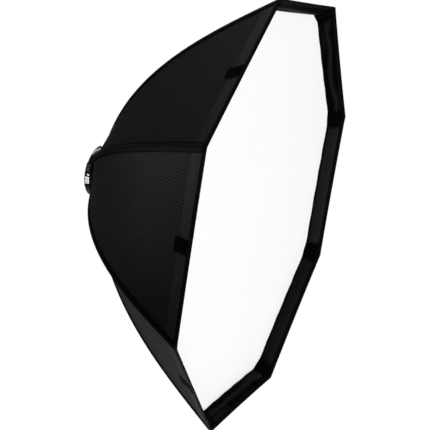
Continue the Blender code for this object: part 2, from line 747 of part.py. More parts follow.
def main():
    clear_scene()
    cloth = make_material("black ripstop nylon", (0.016, 0.016, 0.016), 0.55)
    webbing = make_material("black webbing", (0.008, 0.008, 0.008), 0.8)
    tape = make_material("black hook tape", (0.022, 0.022, 0.022), 0.85)
    diffusion = make_material("white diffusion cloth", (0.88, 0.88, 0.88), 0.7)
    fibreglass = make_material("black fibreglass", (0.02, 0.02, 0.02), 0.35)
    anodised = make_material("black anodised aluminium", (0.02, 0.02, 0.021), 0.35, 0.9)
    rubber = make_material("black rubber", (0.012, 0.012, 0.012), 0.8)
    plastic = make_material("black plastic", (0.018, 0.018, 0.018), 0.45)
    grip = make_material("grey rubber", (0.15, 0.15, 0.15), 0.7)
    steel = make_material("steel", (0.55, 0.55, 0.55), 0.3, 1.0)

    turning = make_axis("turning_axis", Vector((0, 0, 0)))
    hinge = make_axis("lever_axis", at(PIVOT_RADIUS, PIVOT_ANGLE, (BAND_SETBACK + BAND_END) / 2))

    add_mount_collar(anodised)
    add_collar_liner(rubber)
    add_clamp_band(anodised)
    add_lever_pin(steel)
    add_retaining_ring(steel)
    add_clamp_lever(plastic, hinge)
    add_lever_pad(grip, hinge)
    add_ring_body(anodised, turning)
    add_rear_hem(webbing, turning)
    add_front_diffuser(diffusion, turning)
    add_inner_diffuser(diffusion, turning)
    for number in range(SIDES):
        add_panel(number, cloth, turning)
        add_sleeve(number, cloth, turning)
        add_rod(number, fibreglass, turning)
        add_pocket(number, webbing, turning)
        add_hook_strip(number, tape, turning)
        add_tab(number, webbing, turning)


main()
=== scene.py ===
"""Looks of an octagonal studio softbox: cloth shell, front lip, diffusers and rear mount."""
import logging
import math
from dataclasses import dataclass, field
from enum import Enum
from functools import cached_property
from typing import Callable, Sequence

import bmesh
import bpy
import numpy as np
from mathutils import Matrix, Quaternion, Vector, noise


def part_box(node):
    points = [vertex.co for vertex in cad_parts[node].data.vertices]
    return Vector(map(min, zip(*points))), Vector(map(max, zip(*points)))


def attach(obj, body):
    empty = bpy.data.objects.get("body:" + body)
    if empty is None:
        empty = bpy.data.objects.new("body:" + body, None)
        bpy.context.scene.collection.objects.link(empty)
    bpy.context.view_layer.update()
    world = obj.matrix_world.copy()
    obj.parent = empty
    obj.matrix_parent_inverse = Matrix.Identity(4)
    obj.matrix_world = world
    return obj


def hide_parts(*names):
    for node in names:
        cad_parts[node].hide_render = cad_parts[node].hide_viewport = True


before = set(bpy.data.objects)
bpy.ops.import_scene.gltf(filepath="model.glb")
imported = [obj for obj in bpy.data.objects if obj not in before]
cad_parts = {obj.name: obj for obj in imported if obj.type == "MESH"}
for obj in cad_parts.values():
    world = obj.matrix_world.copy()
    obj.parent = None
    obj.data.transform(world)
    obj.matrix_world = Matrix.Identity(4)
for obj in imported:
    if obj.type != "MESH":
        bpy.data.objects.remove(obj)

log = logging.getLogger("softbox")

MM = 0.001
SIDES = 8
HALF_SIDE = math.pi / SIDES
GAP = 0.3 * MM
# The cloth ends this far behind the front of its solid.
EDGE_SETBACK = 0.53 * MM
# Two places closer than this count as one.
NEAR = 0.1 * MM
# The hinge's ears and knuckle stand this far round from its pin at most.
HINGE_REACH = math.radians(12)
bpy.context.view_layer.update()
Grid = np.ndarray
Object = bpy.types.Object
Material = bpy.types.Material
Socket = bpy.types.NodeSocket
Tree = bpy.types.NodeTree
Node = bpy.types.Node


class Body(Enum):
    """CAD bodies that a piece can ride on."""

    MOUNT = "mount"
    SOFTBOX = "softbox"
    LEVER = "lever"


class Slot(Enum):
    """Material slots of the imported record."""

    CLOTH = "cloth"
    WEBBING = "webbing"
    TAPE = "hook_tape"
    DIFFUSION = "diffusion"
    METAL = "ring_metal"
    LINER = "liner"
    LEVER = "lever"
    GRIP = "grip"


class Joining(Enum):
    """Ways in which one solid changes another."""

    UNION = "UNION"
    DIFFERENCE = "DIFFERENCE"
    INTERSECT = "INTERSECT"


class Part(Enum):
    """Parts of a mesh that edit mode selects."""

    POINT = "VERT"
    EDGE = "EDGE"
    FACE = "FACE"


def linear(colour: str) -> tuple[float, float, float, float]:
    """Turn an sRGB hex colour to linear.

    Args:
        colour: six hex digits after a hash sign.

    Returns:
        Linear red, green, blue and an alpha of one.
    """
    parts = [int(colour[i:i + 2], 16) / 255 for i in (1, 3, 5)]
    red, green, blue = ((c / 12.92 if c <= 0.04045 else ((c + 0.055) / 1.055) ** 2.4) for c in parts)
    return red, green, blue, 1.0


def add_node(tree: Tree, kind: str, settings: dict | None = None, links: dict | None = None) -> Node:
    """Add a shader node.

    Args:
        tree: node tree that takes the node.
        kind: node type.
        settings: attribute names, or input names and numbers, with their values.
        links: input names and numbers with the output sockets that feed them.

    Returns:
        The new node.
    """
    node = tree.nodes.new(kind)
    for name, value in (settings or {}).items():
        if isinstance(name, str) and hasattr(node, name):
            setattr(node, name, value)
        else:
            node.inputs[name].default_value = value
    for name, socket in (links or {}).items():
        tree.links.new(socket, node.inputs[name])
    return node


def new_material(name: str, specular: float) -> tuple[Material, Tree, Node]:
    """Start a material with its shader.

    Args:
        name: material name.
        specular: specular level of the shader.

    Returns:
        The material, its node tree and its shader.
    """
    paint = bpy.data.materials.new(name)
    paint.use_nodes = True
    tree = paint.node_tree
    shader = tree.nodes["Principled BSDF"]
    shader.inputs["Specular IOR Level"].default_value = specular
    return paint, tree, shader


def feed_shader(tree: Tree, shader: Node, tone: Socket, cloud: Socket, rough: tuple[float, float],
                height: Socket, relief: tuple[float, float]) -> None:
    """Give a shader its colour, a roughness that drifts, and its relief.

    Args:
        tree: node tree of the shader.
        shader: the shader.
        tone: colour.
        cloud: slow drift from 0 to 1.
        rough: lowest and highest roughness.
        height: height of the relief from 0 to 1.
        relief: depth of the relief in metres, and its strength.
    """
    drift = add_node(tree, "ShaderNodeMapRange", {"To Min": rough[0], "To Max": rough[1]}, {0: cloud})
    bump = add_node(tree, "ShaderNodeBump", {"Distance": relief[0], "Strength": relief[1]},
                    {"Height": height})
    tree.links.new(tone, shader.inputs["Base Color"])
    tree.links.new(drift.outputs[0], shader.inputs["Roughness"])
    tree.links.new(bump.outputs[0], shader.inputs["Normal"])


@dataclass(frozen=True)
class Weave:
    """A woven surface with its thread spacing in millimetres on the piece's own UV map."""

    name: str
    colour: str
    thread_colour: str
    pitch_mm: float
    rip_mm: float = 0.0
    rip_colour: str = ""
    roughness: float = 0.7
    bump_mm: float = 0.15
    ribbed: bool = False
    specular: float = 0.5
    mottle: float = 0.18
    # Colour of the painted sheen, laid on by a point attribute of the mesh.
    painted_sheen_colour: str = ""
    clouds_per_metre: float = 9.0
    rough_drift: float = 0.05
    relief_strength: float = 0.8
    rip_sharpness: float = 14.0

    def material(self) -> Material:
        """Build the material: threads both ways, or ribs one way, with slow shade changes.

        Returns:
            The finished material.
        """
        paint, tree, shader = new_material(self.name, self.specular)
        place = add_node(tree, "ShaderNodeUVMap", {"uv_map": "cloth"}).outputs["UV"]
        split = add_node(tree, "ShaderNodeSeparateXYZ", links={0: place})
        axes = (1,) if self.ribbed else (0, 1)
        waves = [self._wave(tree, split.outputs[axis], self.pitch_mm) for axis in axes]
        height = waves[0]
        if not self.ribbed:
            height = add_node(tree, "ShaderNodeMath", {"operation": "MULTIPLY"},
                              {0: waves[0], 1: waves[1]}).outputs[0]
        shade = add_node(tree, "ShaderNodeMix", {"data_type": "RGBA", 6: linear(self.colour),
                                                 7: linear(self.thread_colour)}, {0: height}).outputs[2]
        if self.rip_mm:
            lines = [self._line(tree, split.outputs[axis]) for axis in (0, 1)]
            rip = add_node(tree, "ShaderNodeMath", {"operation": "MAXIMUM"},
                           {0: lines[0], 1: lines[1]}).outputs[0]
            shade = add_node(tree, "ShaderNodeMix", {"data_type": "RGBA", 7: linear(self.rip_colour)},
                             {0: rip, 6: shade}).outputs[2]
            height = add_node(tree, "ShaderNodeMath", {"operation": "ADD"}, {0: height, 1: rip}).outputs[0]
        # Painted sheen: paler colour wherever the mesh's painted sheen attribute is high.
        if self.painted_sheen_colour:
            painted_sheen = add_node(tree, "ShaderNodeAttribute", {"attribute_name": "painted_sheen"}).outputs["Fac"]
            shade = add_node(tree, "ShaderNodeMix", {"data_type": "RGBA", 7: linear(self.painted_sheen_colour)},
                             {0: painted_sheen, 6: shade}).outputs[2]
        solid = add_node(tree, "ShaderNodeTexCoord").outputs["Object"]
        cloud = add_node(tree, "ShaderNodeTexNoise", {"Scale": self.clouds_per_metre, "Detail": 3.0},
                         {0: solid}).outputs[0]
        wear = add_node(tree, "ShaderNodeMapRange", {"To Min": 1 - self.mottle, "To Max": 1 + self.mottle},
                        {0: cloud}).outputs[0]
        tone = add_node(tree, "ShaderNodeVectorMath", {"operation": "SCALE"}, {0: shade, 3: wear})
        feed_shader(tree, shader, tone.outputs[0], cloud,
                    (self.roughness - self.rough_drift, self.roughness + self.rough_drift),
                    height, (self.bump_mm * MM, self.relief_strength))
        return paint

    @staticmethod
    def _wave(tree: Tree, place: Socket, pitch_mm: float) -> Socket:
        """Draw ridges that repeat along one UV axis.

        Args:
            tree: node tree that takes them.
            place: UV value along the axis.
            pitch_mm: spacing of the ridges.

        Returns:
            Height from 0 to 1.
        """
        per_metre = 2 * math.pi / (pitch_mm * MM)
        turns = add_node(tree, "ShaderNodeMath", {"operation": "MULTIPLY", 1: per_metre},
                         {0: place}).outputs[0]
        wave = add_node(tree, "ShaderNodeMath", {"operation": "SINE"}, {0: turns}).outputs[0]
        return add_node(tree, "ShaderNodeMath", {"operation": "MULTIPLY_ADD", 1: 0.5, 2: 0.5},
                        {0: wave}).outputs[0]

    def _line(self, tree: Tree, place: Socket) -> Socket:
        """Draw a narrow line at every rip-stop thread along one UV axis.

        Args:
            tree: node tree that takes it.
            place: UV value along the axis.

        Returns:
            Height from 0 to 1.
        """
        ridge = self._wave(tree, place, self.rip_mm)
        return add_node(tree, "ShaderNodeMath", {"operation": "POWER", 1: self.rip_sharpness},
                        {0: ridge}).outputs[0]


@dataclass(frozen=True)
class Hard:
    """A moulded, turned or drawn surface with a fine grain."""

    name: str
    colour: str
    roughness: float
    metallic: float = 0.0
    grain_mm: float = 0.6
    bump_mm: float = 0.01
    spread: float = 0.12
    specular: float = 0.5
    clouds_per_metre: float = 60.0
    shade_share: float = 0.8
    relief_strength: float = 0.6

    def material(self) -> Material:
        """Build the material: grain in bump and roughness, slow changes in shade.

        Returns:
            The finished material.
        """
        paint, tree, shader = new_material(self.name, self.specular)
        shader.inputs["Metallic"].default_value = self.metallic
        place = add_node(tree, "ShaderNodeTexCoord").outputs["Object"]
        grain = add_node(tree, "ShaderNodeTexNoise", {"Scale": 1 / (self.grain_mm * MM), "Detail": 2.0},
                         {0: place}).outputs[0]
        cloud = add_node(tree, "ShaderNodeTexNoise", {"Scale": self.clouds_per_metre, "Detail": 3.0},
                         {0: place}).outputs[0]
        dark = [c * self.shade_share for c in linear(self.colour)[:3]] + [1.0]
        shade = add_node(tree, "ShaderNodeMix", {"data_type": "RGBA", 6: dark, 7: linear(self.colour)},
                         {0: cloud}).outputs[2]
        feed_shader(tree, shader, shade, cloud,
                    (self.roughness - self.spread / 2, self.roughness + self.spread / 2),
                    grain, (self.bump_mm * MM, self.relief_strength))
        return paint


def made(finish: Weave | Hard) -> Material:
    """Declare a field that holds a finish's material, made once for the whole softbox."""
    return field(default_factory=finish.material)


@dataclass
class Finishes:
    """Every material of the softbox, built once. Weaves are drawn coarser than real so that they show."""

    # Coated ripstop nylon: near-black, satin, with a faint raised grid of thicker threads.
    nylon: Material = made(Weave("ripstop_nylon", "#121211", "#181817", 1.6, 6.0, "#282826", 0.62,
                                 bump_mm=0.10, specular=0.02))
    # The same nylon turned over on itself at the front hem: a little paler where the coating shows.
    hem: Material = made(Weave("ripstop_nylon_hem", "#1b1b1a", "#232321", 1.6, 6.0, "#292927", 0.6,
                               bump_mm=0.10, specular=0.03))
    # The folded nylon of the rod sleeves: darker, as painted shade of sleeves that turn away from the
    # light.
    sleeve: Material = made(Weave("ripstop_nylon_sleeve", "#090908", "#0e0e0d", 1.6, 6.0, "#131312", 0.62,
                                  bump_mm=0.10, specular=0.02))
    # Vapour-coated silver cloth inside the shell: bright, soft mirror.
    lining: Material = made(Hard("silver_lining_cloth", "#c8c8c8", 0.42, 0.9, grain_mm=1.2, bump_mm=0.05))
    # Satin polyester facing of the lip: black, with a painted sheen that makes it paler along its crease
    # ridges, all over on two sides and in one streak on the others.
    satin: Material = made(Weave("satin_polyester", "#030303", "#050505", 1.2, roughness=0.4,
                                 bump_mm=0.05, specular=0.003, painted_sheen_colour="#1c1c1c"))
    # Flat woven nylon webbing: deep dull black with close ribs.
    webbing: Material = made(Weave("nylon_webbing", "#020202", "#040404", 1.8, roughness=0.85, bump_mm=0.3,
                                   ribbed=True, specular=0.015))
    # Hook-and-loop tape: matte black pile that swallows light.
    tape: Material = made(Weave("hook_and_loop_tape", "#080808", "#0f0f0f", 1.5, roughness=0.9, bump_mm=0.3,
                                specular=0.02))
    # Bias tape round the front edge: dense black twill.
    binding: Material = made(Weave("bias_binding_twill", "#050505", "#090909", 1.4, roughness=0.8,
                                   bump_mm=0.15, ribbed=True, specular=0.03))
    # Diffusion cloth: white polyester, plain weave.
    white: Material = made(Weave("white_diffusion_cloth", "#f6f6f6", "#fbfbfb", 1.6, roughness=0.8,
                                 bump_mm=0.04, specular=0.2, mottle=0.01))
    # Sewing thread: black polyester with a slight shine, coloured paler than black as a painted highlight
    # of the stitched hem edge.
    thread: Material = made(Hard("black_polyester_thread", "#2b2b29", 0.75, grain_mm=0.4, specular=0.05))
    # Moulded polycarbonate ring: glossy black with sharp highlights.
    gloss: Material = made(Hard("moulded_polycarbonate", "#030303", 0.19, bump_mm=0.0006, spread=0.05,
                                specular=0.3))
    # Anodised aluminium, bead blasted: black with a soft metal shine.
    anodised: Material = made(Hard("anodised_aluminium", "#121213", 0.34, 0.85, bump_mm=0.006))
    # Moulded rubber: dull black.
    rubber: Material = made(Hard("moulded_rubber", "#101010", 0.75, bump_mm=0.02))
    # Grey thermoplastic rubber grip: dull, fine texture.
    grip: Material = made(Hard("grey_rubber_grip", "#3c3c3a", 0.6, bump_mm=0.02, specular=0.2))
    # Pultruded fibreglass: black, smooth, faintly streaked.
    fibreglass: Material = made(Hard("pultruded_fibreglass", "#161616", 0.32, bump_mm=0.006))
    # Ground steel: grey, bright.
    steel: Material = made(Hard("ground_steel", "#a8a8a6", 0.28, 1.0, bump_mm=0.004))
    # Pad-printed white ink: flat white.
    ink: Material = made(Hard("white_pad_print", "#f0f0ee", 0.45, bump_mm=0.004))


@dataclass(frozen=True)
class ShellForm:
    """The eight-sided surface that the cloth follows, set by four places of the frame."""

    rear_radius: float
    rear_edge: float
    front_radius: float
    front_edge: float
    lip_depth: float
    turn: float = math.radians(40)
    steps: int = 400
    round_length: float = 50 * MM
    hem_bow: float = 1 * MM
    sag: float = 3 * MM
    pleats: int = 5
    pleat_depth: float = 0.5 * MM
    pleat_length: float = 24 * MM

    @classmethod
    def from_frame(cls) -> "ShellForm":
        """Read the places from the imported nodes.

        Returns:
            The shell's form.
        """
        low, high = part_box("panel_3")
        bead_low, bead_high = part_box("rear_hem")
        bead = (bead_high.y - bead_low.y) / 2
        front_edge = -low.y - EDGE_SETBACK
        return cls(bead_high.x - bead, -bead_low.y + GAP, high.x / math.cos(HALF_SIDE), front_edge,
                   front_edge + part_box("front_diffuser")[0].y)

    @cached_property
    def line(self) -> Grid:
        """Run of a seam: a rod pulled in at its tip, bent most at its root.

        Returns:
            Radius and forward at each station.
        """
        middles = (np.arange(self.steps) + 0.5) / self.steps
        heading = -self.turn * (1 - middles) ** 2
        points = np.zeros((self.steps + 1, 2))
        points[1:] = np.cumsum(np.stack([np.cos(heading), np.sin(heading)], -1), 0)
        rear = np.array((self.rear_radius, self.rear_edge))
        wanted = np.array((self.front_radius, self.front_edge)) - rear
        swing = math.atan2(wanted[1], wanted[0]) - math.atan2(points[-1, 1], points[-1, 0])
        way = np.array(((math.cos(swing), math.sin(swing)), (-math.sin(swing), math.cos(swing))))
        return rear + points @ way * (np.linalg.norm(wanted) / np.linalg.norm(points[-1]))

    @cached_property
    def length(self) -> float:
        """Length of a seam."""
        return float(np.linalg.norm(np.diff(self.line, axis=0), axis=1).sum())

    @cached_property
    def lip_run(self) -> float:
        """Length of cloth from the front edge to the front diffuser."""
        return (1 - self.share_at(self.front_edge - self.lip_depth)) * self.length

    @property
    def half_width(self) -> float:
        """Half the length of one front edge."""
        return self.front_radius * math.sin(HALF_SIDE)

    def seam(self, share: Grid) -> tuple[Grid, Grid]:
        """Find places on the seam, also a little past its ends.

        Args:
            share: 0 at the rear, 1 at the front.

        Returns:
            Radius and forward.
        """
        share = np.asarray(share, float)
        stations = np.linspace(0, 1, self.steps + 1)
        inside = np.clip(share, 0, 1)
        beyond = (share - inside) * self.steps
        ends = np.where(share > 0.5, 1, 0)
        slope = np.stack([self.line[1] - self.line[0], self.line[-1] - self.line[-2]])[ends]
        return (np.interp(inside, stations, self.line[:, 0]) + beyond * slope[..., 0],
                np.interp(inside, stations, self.line[:, 1]) + beyond * slope[..., 1])

    def share_at(self, forward: float) -> float:
        """Share at which the seam reaches a distance forward."""
        shares = np.linspace(0, 1, 2001)
        return float(np.interp(forward, self.seam(shares)[1], shares))

    def surface(self, middle: float, across: Grid, share: Grid) -> Grid:
        """Points on the outside of one panel, drawn in between its seams.

        Args:
            middle: angle of the panel's middle round the axis.
            across: -1 to 1 between the panel's seams.
            share: 0 at the rear, 1 at the front corners.

        Returns:
            Points with a last axis of three.
        """
        across, share = np.broadcast_arrays(np.asarray(across, float), np.asarray(share, float))
        corner, forward = self.seam(share)
        run = np.clip(share, 0, 1) * self.length
        rest = np.clip(1 - run / self.round_length, 0, 1) ** 2
        turn = across * HALF_SIDE
        flat_out, flat_side = corner * math.cos(HALF_SIDE), across * corner * math.sin(HALF_SIDE)
        out = flat_out + (corner * np.cos(turn) - flat_out) * rest
        side = flat_side + (corner * np.sin(turn) - flat_side) * rest
        inner = 1 - across ** 2
        out = out - self.sag * inner * np.sin(math.pi * np.clip(share, 0, 1)) ** 0.8
        folds = np.cos(math.pi * (2 * self.pleats + 1) * across / 2)
        out = out + self.pleat_depth * np.exp(-run / self.pleat_length) * folds * inner
        x = out * math.cos(middle) - side * math.sin(middle)
        z = out * math.sin(middle) + side * math.cos(middle)
        return np.stack([x, -forward, z], -1)

    def normal(self, middle: float, across: Grid, share: Grid) -> Grid:
        """Find the way out of the shell on one panel.

        Args:
            middle: angle of the panel's middle round the axis.
            across: -1 to 1 between the panel's seams.
            share: 0 at the rear, 1 at the front corners.

        Returns:
            Unit normals with a last axis of three.
        """
        step = 0.004
        across, share = np.broadcast_arrays(np.asarray(across, float), np.asarray(share, float))
        side = self.surface(middle, across + step, share) - self.surface(middle, across - step, share)
        along = self.surface(middle, across, share + step) - self.surface(middle, across, share - step)
        normal = np.cross(side, along)
        normal /= np.linalg.norm(normal, axis=-1, keepdims=True)
        out = np.array((math.cos(middle), 0.0, math.sin(middle)))
        return normal * np.where((normal @ out) < 0, -1.0, 1.0)[..., None]

    def skin(self, middle: float, across: Grid, share: Grid) -> tuple[Grid, Grid]:
        """Points and unit normals on the outside of one panel."""
        return self.surface(middle, across, share), self.normal(middle, across, share)

    def from_seam(self, share: Grid, distance: Grid) -> Grid:
        """Across value, on the positive side, at a distance from the seam."""
        return 1 - np.asarray(distance) / (self.seam(share)[0] * math.sin(HALF_SIDE))

    def front_share(self, across: Grid, setback: Grid = 0.0) -> Grid:
        """Share at a distance along the cloth behind the drawn-back front edge."""
        across = np.asarray(across, float)
        return 1 - (self.hem_bow * (1 - across ** 2) + np.asarray(setback)) / self.length


def panel_angle(number: int) -> float:
    """Angle of a panel's middle, counted from the top, clockwise seen from the front."""
    return math.pi / 2 - number * 2 * HALF_SIDE


def seam_angle(number: int) -> float:
    """Angle of the seam clockwise of a panel."""
    return panel_angle(number) - HALF_SIDE


def new_mesh(name: str, points: Sequence, faces: Sequence, materials: Sequence[Material],
             indices: Sequence[int] | None = None, uvs: Sequence | None = None,
             crease: float = math.radians(50)) -> Object:
    """Make a smooth mesh object with its place in its mesh and its faces outwards.

    Args:
        name: piece name.
        points: world points.
        faces: tuples of point numbers.
        materials: material slots of the piece.
        indices: slot of each face.
        uvs: UV of each point, in metres.
        crease: angle from which an edge stays sharp.

    Returns:
        The new object.
    """
    mesh = bpy.data.meshes.new(name)
    mesh.from_pydata([tuple(map(float, p)) for p in points], [], [tuple(map(int, f)) for f in faces])
    for material in materials:
        mesh.materials.append(material)
    if indices is not None:
        mesh.polygons.foreach_set("material_index", np.asarray(indices, dtype=np.int32))
    if uvs is not None:
        layer = mesh.uv_layers.new(name="cloth")
        order = np.empty(len(mesh.loops), dtype=np.int32)
        mesh.loops.foreach_get("vertex_index", order)
        layer.data.foreach_set("uv", np.asarray(uvs, dtype=np.float32)[order].ravel())
    turned = bmesh.new()
    turned.from_mesh(mesh)
    bmesh.ops.recalc_face_normals(turned, faces=turned.faces)
    turned.to_mesh(mesh)
    turned.free()
    mesh.shade_smooth()
    mesh.set_sharp_from_angle(angle=crease)
    piece = bpy.data.objects.new(name, mesh)
    bpy.context.scene.collection.objects.link(piece)
    return piece


def thick_sheet(name: str, outer: Grid, inner: Grid, uv: Grid, materials: Sequence[Material],
                slot: Callable[[int, int, bool], int] = lambda row, column, outside: 0) -> Object:
    """Close two grids of points into one thin sheet.

    Args:
        name: piece name.
        outer: rows of points on the outside.
        inner: the same rows on the inside.
        uv: UV of each point, in metres.
        materials: material slots.
        slot: slot of a face from its row, its column and whether it is outside.

    Returns:
        The new object.
    """
    rows, columns = outer.shape[:2]
    count = rows * columns
    faces, slots = [], []
    for row in range(rows - 1):
        for column in range(columns - 1):
            a = row * columns + column
            quad = (a, a + 1, a + columns + 1, a + columns)
            faces += [quad, tuple(count + i for i in reversed(quad))]
            slots += [slot(row, column, True), slot(row, column, False)]
    rim = list(range(columns))
    rim += [r * columns + columns - 1 for r in range(1, rows)]
    rim += [(rows - 1) * columns + c for c in range(columns - 2, -1, -1)]
    rim += [r * columns for r in range(rows - 2, 0, -1)]
    for here, after in zip(rim, rim[1:] + rim[:1]):
        faces.append((after, here, count + here, count + after))
        slots.append(0)
    points = np.concatenate([outer.reshape(-1, 3), inner.reshape(-1, 3)])
    uvs = np.concatenate([uv.reshape(-1, 2), uv.reshape(-1, 2)])
    return new_mesh(name, points, faces, materials, slots, uvs)


def stitches(name: str, points: Grid, normals: Grid, material: Material, pitch: float = 3.2 * MM,
             share: float = 0.72, radius: float = 0.3 * MM) -> Object:
    """Lay a row of stitches along a line on cloth, each a five-sided thread with its ends drawn in.

    Args:
        name: piece name.
        points: points of the line.
        normals: cloth normals there.
        material: the thread.
        pitch: length of one stitch with its space.
        share: part of the pitch that the thread shows.
        radius: half the thread's thickness.

    Returns:
        One object that holds every stitch of the row.
    """
    steps = np.linalg.norm(np.diff(points, axis=0), axis=1)
    run = np.concatenate([[0], np.cumsum(steps)])
    count = max(1, int(run[-1] / pitch))
    sides, ends_sunk, thread_raised = 5, 0.2, 0.55
    stations = np.array((-0.5, -0.3, 0.3, 0.5))
    verts, faces = [], []
    for number in range(count):
        middle = (number + 0.5) * run[-1] / count
        spots = middle + stations * pitch * share
        line = np.stack([np.interp(spots, run, points[:, i]) for i in range(3)], -1)
        up = np.array([np.interp(middle, run, normals[:, i]) for i in range(3)])
        up /= np.linalg.norm(up)
        way = line[-1] - line[0]
        way /= max(np.linalg.norm(way), 1e-9)
        across = np.cross(way, up)
        base = len(verts)
        verts.append(line[0] - up * ends_sunk * radius)
        for spot in line[1:3]:
            for turn in range(sides):
                angle = 2 * math.pi * turn / sides
                raised = up * (math.sin(angle) + thread_raised)
                verts.append(spot + (raised + across * math.cos(angle)) * radius)
        verts.append(line[3] - up * ends_sunk * radius)
        last = len(verts) - 1
        for turn in range(sides):
            here, after = base + 1 + turn, base + 1 + (turn + 1) % sides
            faces += [(base, after, here), (here, after, after + sides, here + sides),
                      (here + sides, after + sides, last)]
    return new_mesh(name, verts, faces, [material])


def settle(piece: Object, body: Body, slot: Slot, *nodes: str) -> Object:
    """Let a piece ride on a body, and hide the nodes that it stands for.

    Args:
        piece: the finished piece.
        body: body that carries it.
        slot: not used.
        nodes: nodes that it replaces.

    Returns:
        The same piece.
    """
    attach(piece, body.value)
    if nodes:
        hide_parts(*nodes)
    log.info("piece %s", piece.name)
    return piece


def along(points: Grid) -> Grid:
    """Distance run at each point of a line."""
    return np.concatenate([[0.0], np.cumsum(np.linalg.norm(np.diff(points, axis=0), axis=1))])


def pair(across: Grid, rows: Grid) -> Grid:
    """UV grid of columns across and rows along, both in metres."""
    return np.stack(np.broadcast_arrays(across, rows), -1)


def ring_faces(rows: int, columns: int) -> list[tuple[int, int, int, int]]:
    """Join a grid of points that closes both ways.

    Args:
        rows: rows of points round the ring.
        columns: points round its section.

    Returns:
        Four point numbers for each face.
    """
    faces = []
    for row in range(rows):
        after = (row + 1) % rows
        for column in range(columns):
            beside = (column + 1) % columns
            faces.append((row * columns + column, row * columns + beside,
                          after * columns + beside, after * columns + column))
    return faces


